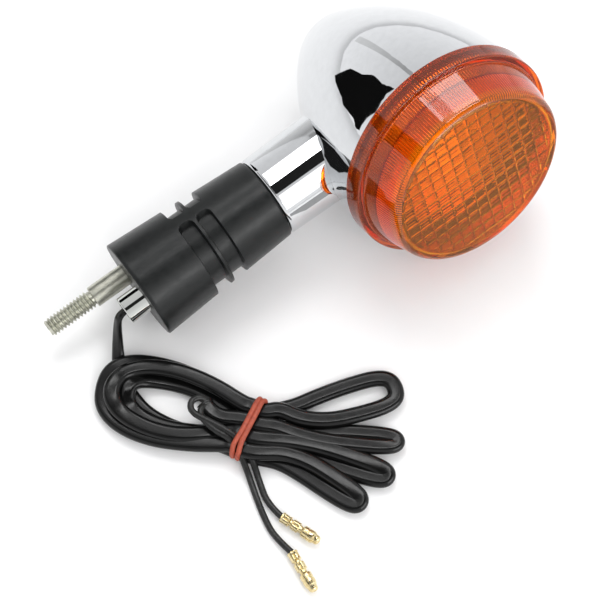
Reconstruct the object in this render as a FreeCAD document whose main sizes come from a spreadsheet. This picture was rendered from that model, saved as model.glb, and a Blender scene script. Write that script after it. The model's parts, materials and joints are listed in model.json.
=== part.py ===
"""Motorcycle turn signal: a chromed bullet lamp on a stem, a grooved rubber mount with a
stud, and its tied two-wire lead.

Two frames are used, both in millimetres.
  Lamp frame:  +X along the stem from the mount's end face to the lamp, -Y out of the lens,
               +Z up when the lamp is fitted. Its origin is the centre of the mount's end face.
  Row frame:   the lamp as it lies on a table, +Z up off the table. Its origin is under the
               middle of the lamp. The lead is laid out in this frame.
"""
import FreeCAD
import Part
import Sketcher
import math
import os

V = FreeCAD.Vector
X_AXIS = V(1, 0, 0)
Y_AXIS = V(0, 1, 0)
Z_AXIS = V(0, 0, 1)
ON_AXIS = "centre on the axis"
MITRED = 1
STEPS_PER_TURN = 12

# Driving sizes: alias, value, meaning. Lengths are millimetres, angles are degrees.
SIZES = [
    ("rest_pitch", 8.1, "rise of the stem towards the lamp, lying on the table"),
    ("rest_roll", 16.2, "upward turn of the lens about the stem, lying on the table"),
    ("rest_x", -54.8, "row X of the lamp frame's origin"),
    ("rest_y", 4.4, "row Y of the lamp frame's origin"),
    ("rest_z", 17.08, "row Z of the lamp frame's origin"),
    # rubber mount, along the stem
    ("foot_radius", 17.25, "mount at its end face"),
    ("foot_top_radius", 16.02, "mount where the grooves begin"),
    ("collar_root_radius", 15.32, "mount where the grooves end"),
    ("collar_radius", 14.2, "mount at the stem"),
    ("foot_end", 20.5, "start of the first groove"),
    ("rib_start", 25.8, "end of the first groove"),
    ("rib_end", 27.2, "start of the second groove"),
    ("collar_start", 32.3, "end of the second groove"),
    ("collar_end", 51.0, "mount's joint with the stem"),
    ("groove_floor", 13.2, "radius at the bottom of the grooves"),
    ("bridge_half", 2.0, "half the rubber bridge between the half-ring grooves"),
    ("passage_radius", 4.0, "way for the lead through the rubber"),
    # steel in the mount
    ("plate_start", 3.0, "moulded-in plate, near face"),
    ("plate_end", 5.5, "moulded-in plate, far face"),
    ("plate_radius", 14.0, "moulded-in plate"),
    ("stud_offset", 8.5, "stud axis from the mount axis, towards the lamp's back"),
    ("thread_radius", 3.175, "quarter-inch stud, major radius"),
    ("thread_root", 2.55, "relief at the end of the thread"),
    ("shoulder_radius", 3.6, "plain part of the stud"),
    ("stud_tip", -30.2, "outer end of the stud"),
    ("thread_end", -12.7, "inner end of the thread"),
    ("stud_head_radius", 5.2, "head behind the plate"),
    ("stud_head_end", 8.5, "inner end of the head"),
    ("tube_offset", -4.0, "wire tube axis from the mount axis"),
    ("tube_radius", 4.65, "wire tube outside"),
    ("tube_bore", 3.3, "wire tube inside"),
    ("tube_mouth", -7.5, "outer end of the wire tube"),
    ("tube_inner_end", 9.0, "inner end of the wire tube"),
    ("core_start", 44.0, "inner end of the stem core in the rubber"),
    ("core_end", 63.0, "lamp end of the stem core"),
    ("core_radius", 11.0, "stem core in the rubber"),
    ("core_bore", 7.5, "way through the stem core"),
    ("set_screw_x", 57.0, "place of the stem's set screw"),
    ("set_screw_radius", 2.5, "M5 set screw"),
    ("screw_low", -13.9, "outer end of the set screw"),
    ("screw_high", -8.9, "inner end of the set screw"),
    ("hex_radius", 1.44, "set screw socket, across corners"),
    ("hex_depth", 2.2, "set screw socket, depth"),
    # stem and housing
    ("stem_top_radius", 14.9, "stem at the housing"),
    ("stem_bore", 11.8, "inside of the stem"),
    ("stem_root", 86.0, "where the stem cone ends inside the housing"),
    ("root_round", 1.5, "rounding between stem and bullet"),
    ("lens_axis", 104.7, "distance from the end face to the lens axis"),
    ("rim_front", -25.0, "front edge of the housing"),
    ("rim_radius", 36.0, "housing outside at its rim"),
    ("rim_inner", 33.7, "housing inside at its rim"),
    ("gasket_seat", -23.0, "bottom of the gasket seat"),
    ("gasket_radius", 35.0, "outside of the gasket"),
    ("ledge", -21.3, "ledge that carries the reflector"),
    ("ledge_radius", 32.4, "inside edge of the ledge"),
    ("nose_tip", 44.4, "back end of the housing"),
    ("nose_radius", 18.6, "radius of the nose cap"),
    ("side_radius", 97.8, "radius of the housing's side arc"),
    ("wall", 2.4, "housing wall"),
    # lens
    ("flange_rear", -25.2, "back face of the lens flange"),
    ("flange_front", -31.4, "front face of the lens flange"),
    ("flange_radius", 36.9, "flange at its back edge"),
    ("flange_front_radius", 36.6, "flange at its front edge"),
    ("drum_root", 34.4, "drum where it leaves the flange"),
    ("drum_top", 31.6, "drum at its front edge"),
    ("drum_front", -43.0, "front edge of the drum"),
    ("face_radius", 29.6, "edge of the front face"),
    ("face_edge", -45.1, "front face at its edge"),
    ("face_centre", -46.0, "front face at its middle"),
    ("edge_round", 2.4, "rounding between drum and face"),
    ("lens_inner", -42.8, "back of the front face"),
    ("lens_inner_radius", 29.0, "inside of the drum at the face"),
    ("skirt_bore", 31.2, "inside of the lens skirt"),
    ("skirt_radius", 33.2, "outside of the lens skirt"),
    ("skirt_end", -22.9, "back edge of the lens skirt"),
    # reflector
    ("reflector_lip", -22.6, "front face of the reflector lip"),
    ("reflector_mouth", 30.4, "inside of the reflector's front"),
    ("reflector_hole", 9.5, "hole for the bulb"),
    ("reflector_base", -2.0, "front face at the hole"),
    ("reflector_skin", 1.3, "reflector thickness"),
    ("reflector_curve", 45.0, "radius of the bowl's section"),
    # bulb socket
    ("socket_front", 2.0, "front edge of the socket"),
    ("socket_floor", 29.6, "inside of the socket's bottom"),
    ("socket_end", 30.6, "outside of the socket's bottom"),
    ("socket_bore", 7.65, "socket inside"),
    ("socket_radius", 8.4, "socket outside"),
    ("wire_hole", 1.7, "hole for the wire in the socket's bottom"),
    ("slot_width", 2.0, "width of the bayonet slots"),
    ("pin_depth", 8.5, "bayonet pin axis"),
    ("push_travel", 2.5, "how far the bulb pushes in"),
    ("twist_angle", 20.0, "how far the bulb turns"),
    ("bracket_front", 14.0, "front face of the bracket"),
    ("bracket_end", 15.2, "back face of the bracket"),
    ("bracket_half_length", 21.5, "half length of the bracket"),
    ("bracket_half_width", 10.5, "half width of the bracket"),
    ("screw_offset", 17.5, "bracket screws from the lens axis"),
    ("boss_radius", 3.6, "screw bosses in the housing"),
    ("screw_radius", 1.45, "bracket screw shank"),
    ("screw_head_radius", 3.1, "bracket screw head"),
    ("screw_head_front", 11.2, "front of the screw heads"),
    ("washer_front", 13.2, "front of the washer and the ring terminal"),
    ("screw_end", 23.5, "inner end of the screws"),
    ("barrel_height", 12.4, "axis of the ground terminal's barrel"),
    ("recess_long", 1.8, "cross recess, half length"),
    ("recess_short", 0.4, "cross recess, half width"),
    # contact and spring
    ("carrier_front", 19.3, "contact carrier, front face"),
    ("carrier_end", 21.3, "contact carrier, back face"),
    ("carrier_radius", 7.5, "contact carrier"),
    ("contact_radius", 1.6, "contact pin"),
    ("contact_front", 18.9, "tip of the contact pin"),
    ("contact_end", 22.6, "tail of the contact pin"),
    ("spring_radius", 5.6, "mean radius of the contact spring"),
    ("spring_wire", 0.4, "radius of the spring wire"),
    ("spring_turns", 4.5, "turns of the contact spring"),
    # bulb
    ("base_radius", 7.57, "bulb base"),
    ("base_end", 17.4, "back end of the bulb base"),
    ("base_skin", 0.5, "thickness of the bulb base"),
    ("pin_radius", 0.85, "bayonet pins"),
    ("pin_reach", 8.9, "bayonet pin ends from the bulb axis"),
    ("neck_radius", 7.0, "glass neck"),
    ("globe_radius", 13.1, "glass globe"),
    ("globe_centre", -17.4, "middle of the globe"),
    ("glass_skin", 0.7, "glass thickness"),
    ("bulb_tip_contact", 18.8, "tip of the bulb's contact"),
    ("filament_height", -16.0, "filament"),
    ("neck_end", 6.0, "glass neck inside the base"),
    ("neck_start", -4.5, "glass neck at the globe"),
    ("globe_joint", -7.0, "where the globe begins"),
    ("globe_joint_radius", 7.966, "globe there, outside"),
    ("globe_joint_inner", 6.753, "globe there, inside"),
    ("bead_tip", -8.5, "end of the glass bead"),
    ("filament_half", 2.8, "half length of the filament"),
    ("filament_radius", 0.45, "filament coil"),
    ("post_radius", 0.22, "filament posts"),
    ("bulb_contact_radius", 1.8, "solder contact"),
    # wires and lead
    ("wire_radius", 1.05, "one insulated wire"),
    ("sleeve_radius", 2.2, "sleeve with both wires in it"),
    ("sleeve_entry", 67.0, "where the wires enter the sleeve in the stem"),
    ("hank_height", 9.0, "height of the tied lead"),
    ("hank_round", 2.6, "rounding of the tied lead's edges"),
    ("tie_width", 3.0, "rubber band, along the tied lead"),
    ("tie_skin", 0.9, "rubber band thickness"),
    ("tie_half_length", 10.9, "rubber band, half its reach across the tied lead"),
    ("tie_x", -51.0, "rubber band, row X"),
    ("tie_y", -50.8, "rubber band, row Y"),
    ("tie_turn", 29.0, "rubber band's direction across the lead, from row X"),
    ("bullet_radius", 1.95, "bullet terminals"),
    ("bullet_length", 14.0, "bullet terminals"),
    ("crimp_skin", 0.35, "thickness of the terminal's crimp"),
    ("crimp_end", 3.0, "crimp around the wire"),
    ("waist_start", 6.8, "terminal's waist, wire side"),
    ("waist_end", 7.6, "terminal's waist, bullet side"),
    ("waist_depth", 0.75, "depth of the terminal's waist"),
]

doc = FreeCAD.newDocument("turn_signal")
sheet = doc.addObject("Spreadsheet::Sheet", "Sizes")
for row, (alias, number, meaning) in enumerate(SIZES, start=1):
    sheet.set(f"A{row}", meaning)
    sheet.set(f"B{row}", str(number))
    sheet.setAlias(f"B{row}", alias)
doc.recompute()


# ---------------------------------------------------------------- sizes as sums of aliases
def amount(spec):
    """The number that a sum such as 'rim_radius - wall' stands for."""
    sign = 1.0
    total = 0.0
    for word in str(spec).split():
        if word in "+-":
            sign = 1.0 if word == "+" else -1.0
        elif word[0].isalpha():
            total += sign * float(sheet.get(word))
        else:
            total += sign * float(word)
    return total


def formula(spec):
    """The same sum as an expression on the spreadsheet."""
    words = [f"Sizes.{word}" if word[0].isalpha() else word for word in str(spec).split()]
    return " ".join(words)


def bind(thing, prop, spec):
    """Tie a property to the spreadsheet."""
    thing.setExpression(prop, formula(spec))


# ---------------------------------------------------------------- frames
def rest_placement():
    """The lamp frame as it lies on the table."""
    rise = FreeCAD.Rotation(Y_AXIS, -amount("rest_pitch"))
    turn = FreeCAD.Rotation(X_AXIS, -amount("rest_roll"))
    return FreeCAD.Placement(V(amount("rest_x"), amount("rest_y"), amount("rest_z")), rise * turn)


STEM = FreeCAD.Placement()
LENS = FreeCAD.Placement(V(amount("lens_axis"), 0, 0), FreeCAD.Rotation(Z_AXIS, 90))
REST = rest_placement()
nodes = []


def node(thing, label, frame=STEM):
    """Make an object a sub-part of the lamp, given in the stem's or the lens's frame."""
    thing.Label = label
    thing.Placement = REST.multiply(frame)
    nodes.append(thing)
    return thing


def table_node(thing, label, frame=FreeCAD.Placement()):
    """Make an object a sub-part that lies on the table, given in the row frame."""
    thing.Label = label
    thing.Placement = frame
    nodes.append(thing)
    return thing


# ---------------------------------------------------------------- Part workbench helpers
def less(spec, other):
    """The sum `spec` less the sum `other`."""
    words = other.split()
    if words[0] not in "+-":
        words.insert(0, "+")
    flipped = [{"+": "-", "-": "+"}.get(word, word) for word in words]
    return " ".join([spec] + flipped)


def place(part, corner, rotation):
    """Put a primitive at a corner given as three sums, tied to the spreadsheet."""
    part.Placement = FreeCAD.Placement(V(*[amount(spec) for spec in corner]), rotation)
    for axis, spec in zip("xyz", corner):
        bind(part, f"Placement.Base.{axis}", spec)


def cylinder(name, radius, start, end, across="0", up="0"):
    """A cylinder along X from `start` to `end`, its axis at Y `across` and Z `up`."""
    part = doc.addObject("Part::Cylinder", name)
    bind(part, "Radius", radius)
    bind(part, "Height", less(end, start))
    place(part, (start, across, up), FreeCAD.Rotation(Z_AXIS, X_AXIS))
    return part


def post(name, radius, start, end, x, y):
    """A cylinder along Z from `start` to `end`."""
    part = doc.addObject("Part::Cylinder", name)
    bind(part, "Radius", radius)
    bind(part, "Height", less(end, start))
    place(part, (x, y, start), FreeCAD.Rotation())
    return part


def crossbar(name, radius, start, end, x, z):
    """A cylinder along Y from `start` to `end`."""
    part = doc.addObject("Part::Cylinder", name)
    bind(part, "Radius", radius)
    bind(part, "Height", less(end, start))
    place(part, (x, start, z), FreeCAD.Rotation(Z_AXIS, Y_AXIS))
    return part


def sector(name, radius, start, end, first_angle, sweep):
    """A wedge of a cylinder along X, from `first_angle` (0 is +Y, 90 is +Z) through `sweep`."""
    part = doc.addObject("Part::Cylinder", name)
    bind(part, "Radius", radius)
    bind(part, "Height", less(end, start))
    part.Angle = sweep
    turn = FreeCAD.Rotation(X_AXIS, first_angle + 90)
    place(part, (start, "0", "0"), turn * FreeCAD.Rotation(Z_AXIS, X_AXIS))
    return part


def cone(name, start, end, start_radius, end_radius):
    """A cone along X on the axis."""
    part = doc.addObject("Part::Cone", name)
    bind(part, "Radius1", start_radius)
    bind(part, "Radius2", end_radius)
    bind(part, "Height", less(end, start))
    place(part, (start, "0", "0"), FreeCAD.Rotation(Z_AXIS, X_AXIS))
    return part


def block(name, low, high):
    """A box between two corners, each given as three sums."""
    part = doc.addObject("Part::Box", name)
    for prop, a, b in zip(("Length", "Width", "Height"), low, high):
        bind(part, prop, less(b, a))
    place(part, low, FreeCAD.Rotation())
    return part


def fuse(name, parts):
    part = doc.addObject("Part::MultiFuse", name)
    part.Shapes = parts
    part.Refine = True
    return part


def cut(name, base, tools):
    part = doc.addObject("Part::Cut", name)
    part.Base = base
    part.Tool = tools[0] if len(tools) == 1 else fuse(name + "_tools", tools)
    return part


def common(name, parts):
    part = doc.addObject("Part::MultiCommon", name)
    part.Shapes = parts
    return part


def solid(name, shape):
    """A piece whose shape no parametric feature makes, such as a wire along its route."""
    part = doc.addObject("Part::Feature", name)
    part.Shape = shape
    return part


# ---------------------------------------------------------------- PartDesign helpers
def arc_centre(start, end, radius, side):
    """Centre of an arc, on the left (+1) or right (-1) of its chord, or on the X axis."""
    chord = end - start
    middle = (start + end) * 0.5
    if radius == ON_AXIS:
        return V(middle.x + middle.y * chord.y / chord.x, 0, 0)
    left = V(-chord.y, chord.x, 0).normalize()
    return middle + left * (side * math.sqrt(radius ** 2 - (chord.Length / 2) ** 2))


def arc_between(start, end, centre, side):
    """The arc from start to end, anticlockwise (+1) or clockwise (-1)."""
    circle = Part.Circle(centre, Z_AXIS, (start - centre).Length)
    first = math.atan2(start.y - centre.y, start.x - centre.x)
    last = math.atan2(end.y - centre.y, end.x - centre.x)
    if side > 0:
        return Part.ArcOfCircle(circle, first, last)
    return Part.ArcOfCircle(circle, last, first)


def new_sketch(body, name):
    """An empty sketch on the body's own XY plane."""
    plane = [item for item in body.Origin.OriginFeatures if item.Role == "XY_Plane"][0]
    sketch = body.newObject("Sketcher::SketchObject", name)
    sketch.AttachmentSupport = [(plane, "")]
    sketch.MapMode = "FlatFace"
    return sketch


def fix_coordinate(sketch, geo, point, kind, spec):
    """Hold one coordinate of a sketch point, on the axis where it is zero."""
    if amount(spec) == 0:
        axis = -2 if kind == "DistanceX" else -1
        sketch.addConstraint(Sketcher.Constraint("PointOnObject", geo, point, axis))
        return
    held = Sketcher.Constraint(kind, -1, 1, geo, point, amount(spec))
    index = sketch.addConstraint(held)
    sketch.setExpression(f"Constraints[{index}]", formula(spec))


def draw_profile(sketch, corners, arcs):
    """A closed outline. Side i runs from corner i to the next, as an arc where arcs has i.

    An arc is given as its radius, or ON_AXIS for a dome, and its direction.
    """
    points = [V(amount(x), amount(r), 0) for x, r in corners]
    for i, start in enumerate(points):
        end = points[(i + 1) % len(points)]
        if i in arcs:
            radius, side = arcs[i]
            size = radius if radius == ON_AXIS else amount(radius)
            centre = arc_centre(start, end, size, side)
            sketch.addGeometry(arc_between(start, end, centre, side), False)
        else:
            sketch.addGeometry(Part.LineSegment(start, end), False)
    ends = [(2, 1) if i in arcs and arcs[i][1] < 0 else (1, 2) for i in range(len(points))]
    for i in range(len(points)):
        after = (i + 1) % len(points)
        joint = Sketcher.Constraint("Coincident", i, ends[i][1], after, ends[after][0])
        sketch.addConstraint(joint)
    for i, (x, r) in enumerate(corners):
        fix_coordinate(sketch, i, ends[i][0], "DistanceX", x)
        fix_coordinate(sketch, i, ends[i][0], "DistanceY", r)
    for i, (radius, side) in arcs.items():
        if radius == ON_AXIS:
            sketch.addConstraint(Sketcher.Constraint("PointOnObject", i, 3, -1))
            continue
        index = sketch.addConstraint(Sketcher.Constraint("Radius", i, amount(radius)))
        sketch.setExpression(f"Constraints[{index}]", formula(radius))


def revolve(body, sketch):
    turn = body.newObject("PartDesign::Revolution", body.Name + "_turn")
    turn.Profile = (sketch, [""])
    turn.ReferenceAxis = (sketch, ["H_Axis"])
    turn.Angle = 360
    return turn


def turned(name, corners, arcs=None):
    """A body turned about the X axis, from corners given as (along, radius) sums."""
    body = doc.addObject("PartDesign::Body", name)
    sketch = new_sketch(body, name + "_profile")
    draw_profile(sketch, corners, arcs or {})
    revolve(body, sketch)
    return body


# ---------------------------------------------------------------- routes of wires and the lead
def rounded_route(name, points):
    """Straight runs joined by tangent arcs as large as the runs allow."""
    runs = [(b - a).Length for a, b in zip(points, points[1:])]
    edges = []
    radii = []
    at = points[0]
    for i in range(1, len(points) - 1):
        into = (points[i] - points[i - 1]).normalize()
        out = (points[i + 1] - points[i]).normalize()
        reach = 0.45 * min(runs[i - 1], runs[i])
        radii.append(reach / math.tan(into.getAngle(out) / 2))
        start = points[i] - into * reach
        end = points[i] + out * reach
        inward = (out - into).normalize()
        half = into.getAngle(out) / 2
        middle = points[i] + inward * (radii[-1] / math.cos(half) - radii[-1])
        edges.append(Part.LineSegment(at, start).toShape())
        edges.append(Part.Arc(start, middle, end).toShape())
        at = end
    edges.append(Part.LineSegment(at, points[-1]).toShape())
    route = Part.Wire(edges)
    print(f"{name}: length {route.Length:.1f}, arc radii", [round(radius, 1) for radius in radii])
    return route


def tube(name, points, radius):
    """A solid round tube along a route, with its volume compared with section times length."""
    points = [V(*point) for point in points]
    route = rounded_route(name, points)
    ring = Part.Circle(points[0], points[1] - points[0], radius).toShape()
    pipe = route.makePipeShell([Part.Wire([ring])], True, False)
    expected = math.pi * radius ** 2 * route.Length
    if abs(pipe.Volume / expected - 1) > 0.01:
        raise RuntimeError(f"{name}: volume {pipe.Volume:.1f}, expected {expected:.1f}")
    return pipe


# ---------------------------------------------------------------- rubber mount
def damper_foot():
    body = cone("foot_cone", "0", "foot_end", "foot_radius", "foot_top_radius")
    tools = [
        cylinder("foot_plate_seat", "plate_radius", "plate_start", "plate_end"),
        cylinder("foot_stud_hole", "shoulder_radius", "- 1", "plate_start", "stud_offset"),
        cylinder("foot_head_seat", "stud_head_radius", "plate_end", "stud_head_end", "stud_offset"),
        cylinder("foot_tube_hole", "tube_radius", "- 1", "tube_inner_end", "tube_offset"),
        cylinder("foot_passage", "passage_radius", "tube_inner_end", "foot_end + 1", "tube_offset"),
    ]
    node(cut("foot", body, tools), "damper_foot")


def groove(name, start, end):
    """Two half-ring pockets, with a bridge left between them at the top and the bottom."""
    outer = cylinder(name + "_outer", "foot_radius", start, end)
    inner = cylinder(name + "_inner", "groove_floor", start, end)
    low = (start, "- bridge_half", "- foot_radius")
    bridge = block(name + "_bridge", low, (end, "bridge_half", "foot_radius"))
    return cut(name, outer, [inner, bridge])


def damper_neck():
    """The part that bends: two grooves, the thin rib between them and the bridges."""
    body = cone("neck_cone", "foot_end", "collar_start", "foot_top_radius", "collar_root_radius")
    tools = [
        groove("first_groove", "foot_end", "rib_start"),
        groove("second_groove", "rib_end", "collar_start"),
        cylinder("neck_passage", "passage_radius", "foot_end - 1", "collar_start + 1", "tube_offset"),
    ]
    node(cut("neck", body, tools), "damper_neck")


def damper_collar():
    radii = ("collar_root_radius", "collar_radius")
    body = cone("collar_cone", "collar_start", "collar_end", *radii)
    tools = [
        cylinder("collar_core_seat", "core_radius", "core_start", "collar_end + 1"),
        cylinder("collar_passage", "passage_radius", "collar_start - 1", "core_start", "tube_offset"),
    ]
    node(cut("collar", body, tools), "damper_collar")


# ---------------------------------------------------------------- steel in the mount
def mount_plate():
    body = cylinder("plate_disc", "plate_radius", "plate_start", "plate_end")
    tools = [
        cylinder("plate_stud_hole", "shoulder_radius", "plate_start - 1", "plate_end + 1", "stud_offset"),
        cylinder("plate_tube_hole", "tube_radius", "plate_start - 1", "plate_end + 1", "tube_offset"),
    ]
    node(cut("plate", body, tools), "mount_plate")


def mounting_stud():
    """Threaded end with a chamfer and a relief, plain shoulder, and a head behind the plate."""
    stud = turned("stud", [
        ("stud_tip", "0"),
        ("stud_tip", "thread_radius - 0.7"),
        ("stud_tip + 0.7", "thread_radius"),
        ("thread_end - 0.8", "thread_radius"),
        ("thread_end - 0.3", "thread_root"),
        ("thread_end", "thread_root"),
        ("thread_end", "shoulder_radius - 0.4"),
        ("thread_end + 0.4", "shoulder_radius"),
        ("plate_end", "shoulder_radius"),
        ("plate_end", "stud_head_radius"),
        ("stud_head_end", "stud_head_radius"),
        ("stud_head_end", "0"),
    ])
    node(stud, "mounting_stud", FreeCAD.Placement(V(0, amount("stud_offset"), 0), FreeCAD.Rotation()))


def wire_guide_tube():
    tube_body = turned("guide_tube", [
        ("tube_mouth", "tube_bore + 0.4"),
        ("tube_mouth", "tube_radius - 0.3"),
        ("tube_mouth + 0.3", "tube_radius"),
        ("tube_inner_end", "tube_radius"),
        ("tube_inner_end", "tube_bore"),
        ("tube_mouth + 0.4", "tube_bore"),
    ])
    frame = FreeCAD.Placement(V(0, amount("tube_offset"), 0), FreeCAD.Rotation())
    node(tube_body, "wire_guide_tube", frame)


def stem_core():
    """Steel sleeve, moulded into the rubber at one end and held in the stem at the other."""
    sleeve = turned("core_sleeve", [
        ("core_start", "core_bore"),
        ("core_start", "core_radius"),
        ("collar_end", "core_radius"),
        ("collar_end", "stem_bore"),
        ("core_end - 1", "stem_bore"),
        ("core_end", "stem_bore - 1"),
        ("core_end", "core_bore"),
    ])
    hole = post("core_screw_hole", "set_screw_radius", "screw_low", "screw_high", "set_screw_x", "0")
    node(cut("core", sleeve, [hole]), "stem_core")


def stem_set_screw():
    """Set screw in the underside of the stem, with a hexagon socket."""
    shank = post("set_shank", "set_screw_radius", "screw_low", "screw_high", "set_screw_x", "0")
    socket = doc.addObject("Part::Prism", "set_socket")
    socket.Polygon = 6
    bind(socket, "Circumradius", "hex_radius")
    bind(socket, "Height", "hex_depth")
    place(socket, ("set_screw_x", "0", "screw_low"), FreeCAD.Rotation())
    node(cut("set_screw", shank, [socket]), "stem_set_screw")


# ---------------------------------------------------------------- housing
def bullet_outline(sketch):
    """Half the bullet: a nose arc, a side arc tangent to it, and the open end."""
    nose = V(amount("nose_tip - nose_radius"), 0, 0)
    rim = V(amount("rim_front"), amount("rim_radius"), 0)
    gap = nose - rim
    outer = amount("side_radius")
    inner = amount("side_radius - nose_radius")
    along = (outer ** 2 - inner ** 2 + gap.Length ** 2) / (2 * gap.Length)
    aside = math.sqrt(outer ** 2 - along ** 2)
    unit = V(gap).normalize()
    centre = rim + unit * along + V(unit.y, -unit.x, 0) * aside
    meet = math.atan2(nose.y - centre.y, nose.x - centre.x)
    end = math.atan2(rim.y - centre.y, rim.x - centre.x)
    front = V(rim.x, 0, 0)
    tip = V(amount("nose_tip"), 0, 0)
    sketch.addGeometry(Part.LineSegment(front, tip), False)
    sketch.addGeometry(Part.ArcOfCircle(Part.Circle(nose, Z_AXIS, amount("nose_radius")), 0, meet), False)
    sketch.addGeometry(Part.ArcOfCircle(Part.Circle(centre, Z_AXIS, outer), meet, end), False)
    sketch.addGeometry(Part.LineSegment(rim, front), False)
    links = [("Coincident", 0, 2, 1, 1), ("Tangent", 1, 2, 2, 1), ("Coincident", 2, 2, 3, 1),
             ("Coincident", 3, 2, 0, 1), ("PointOnObject", 1, 3, -1)]
    for link in links:
        sketch.addConstraint(Sketcher.Constraint(*link))
    fix_coordinate(sketch, 0, 1, "DistanceX", "rim_front")
    fix_coordinate(sketch, 0, 1, "DistanceY", "0")
    fix_coordinate(sketch, 0, 2, "DistanceX", "nose_tip")
    fix_coordinate(sketch, 0, 2, "DistanceY", "0")
    fix_coordinate(sketch, 3, 1, "DistanceX", "rim_front")
    fix_coordinate(sketch, 3, 1, "DistanceY", "rim_radius")
    for arc, radius in ((1, "nose_radius"), (2, "side_radius")):
        index = sketch.addConstraint(Sketcher.Constraint("Radius", arc, amount(radius)))
        sketch.setExpression(f"Constraints[{index}]", formula(radius))


def bullet():
    body = doc.addObject("PartDesign::Body", "bullet")
    sketch = new_sketch(body, "bullet_outline")
    bullet_outline(sketch)
    revolve(body, sketch)
    return body


def root_fillet(name, base):
    """Round the edge where the stem runs into the bullet."""
    doc.recompute()
    middle = V(0, amount("lens_axis - 34"), 0)
    edges = enumerate(base.Shape.Edges, start=1)
    nearest = min(edges, key=lambda item: (item[1].CenterOfMass - middle).Length)
    fillet = doc.addObject("Part::Fillet", name)
    fillet.Base = base
    fillet.Edges = [(nearest[0], amount("root_round"), amount("root_round"))]
    return fillet


def stem_tube(skin):
    """The stem, from the rubber to its saddle on the housing, with a rounded root."""
    stem = doc.addObject("Part::Cone", "stem_cone")
    bind(stem, "Radius1", "stem_top_radius")
    bind(stem, "Radius2", "collar_radius")
    bind(stem, "Height", "stem_root - collar_end")
    place(stem, ("0", "lens_axis - stem_root", "0"), FreeCAD.Rotation(Z_AXIS, Y_AXIS))
    rounded = root_fillet("casting", fuse("casting_blank", [skin, stem]))
    tools = [
        skin,
        crossbar("stem_way", "stem_bore", "lens_axis - stem_root", "lens_axis - collar_end + 1", "0", "0"),
        post("set_screw_hole", "set_screw_radius", "screw_low - 1", "0", "0", "lens_axis - set_screw_x"),
    ]
    node(cut("stem", rounded, tools), "stem_tube", LENS)


def housing_shell():
    """Hollow bullet with a gasket seat, a ledge, two screw bosses and the way into the stem."""
    skin = bullet()
    stem_tube(skin)
    inside = doc.addObject("Part::Offset", "cavity")
    inside.Source = skin
    bind(inside, "Value", "- wall")
    tools = [
        inside,
        crossbar("housing_way", "stem_bore", "0", "lens_axis - collar_end", "0", "0"),
        cylinder("rim_opening", "rim_inner", "rim_front - 1", "ledge"),
        cylinder("gasket_groove", "gasket_radius", "rim_front - 1", "gasket_seat"),
    ]
    shell = cut("hollow_bullet", skin, tools)
    ring = cut("ledge_ring", cylinder("ledge_disc", "rim_inner + 0.5", "ledge", "ledge + 2"),
               [cylinder("ledge_hole", "ledge_radius", "ledge - 1", "ledge + 3")])
    bosses = []
    for side, offset in (("upper", "screw_offset"), ("lower", "- screw_offset")):
        pillar = cylinder(side + "_pillar", "boss_radius", "bracket_end", "nose_tip", "0", offset)
        pilot = cylinder(side + "_pilot", "screw_radius", "bracket_end - 1", "screw_end", "0", offset)
        bosses.append(cut(side + "_boss", common(side + "_trim", [pillar, skin]), [pilot]))
    node(fuse("housing", [shell, common("ledge_trim", [ring, skin])] + bosses), "housing_shell", LENS)


# ---------------------------------------------------------------- lens, gasket and reflector
def lens():
    """Flange, drum, rounded edge, slightly domed face, and the skirt that snaps in."""
    body = turned("lens_body", [
        ("flange_rear", "skirt_radius"),
        ("flange_rear", "flange_radius"),
        ("flange_front", "flange_front_radius"),
        ("flange_front", "drum_root"),
        ("drum_front", "drum_top"),
        ("face_edge", "face_radius"),
        ("face_centre", "0"),
        ("lens_inner", "0"),
        ("lens_inner", "lens_inner_radius"),
        ("skirt_end", "skirt_bore"),
        ("skirt_end", "skirt_radius"),
    ], {4: ("edge_round", 1), 5: (ON_AXIS, 1)})
    node(body, "lens", LENS)


def lens_gasket():
    ring = cylinder("gasket_disc", "gasket_radius", "rim_front + 0.1", "gasket_seat")
    hole = cylinder("gasket_hole", "rim_inner", "rim_front - 1", "gasket_seat + 1")
    node(cut("gasket", ring, [hole]), "lens_gasket", LENS)


def reflector():
    body = turned("reflector_bowl", [
        ("reflector_lip", "reflector_mouth"),
        ("reflector_lip", "rim_inner - 0.4"),
        ("ledge", "rim_inner - 0.4"),
        ("ledge", "reflector_mouth + reflector_skin"),
        ("reflector_base + reflector_skin", "reflector_hole + 0.8"),
        ("reflector_base + reflector_skin", "reflector_hole"),
        ("reflector_base", "reflector_hole"),
    ], {3: ("reflector_curve + reflector_skin", -1), 6: ("reflector_curve", 1)})
    node(body, "reflector", LENS)


# ---------------------------------------------------------------- bulb socket
def socket_shell():
    """Steel bayonet socket. Each slot is an L: in along one side, then across to the pin."""
    barrel = turned("socket_barrel", [
        ("socket_front", "socket_bore"),
        ("socket_front", "socket_radius"),
        ("socket_end", "socket_radius"),
        ("socket_end", "wire_hole"),
        ("socket_floor", "wire_hole"),
        ("socket_floor", "socket_bore"),
    ])
    half = math.degrees(math.asin(amount("slot_width") / 2 / amount("socket_bore")))
    twist = amount("twist_angle")
    tools = []
    for side, angle in (("left", 0), ("right", 180)):
        window = sector(side + "_window", "socket_radius + 1", "pin_depth - 1",
                        "pin_depth + push_travel + 1", angle - half, twist + 2 * half)
        entry = sector(side + "_entry", "socket_radius + 1", "socket_front - 1",
                       "pin_depth + push_travel + 1", angle + twist - half, 2 * half)
        tools += [window, entry]
    node(cut("socket", barrel, tools), "socket_shell", LENS)


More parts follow.
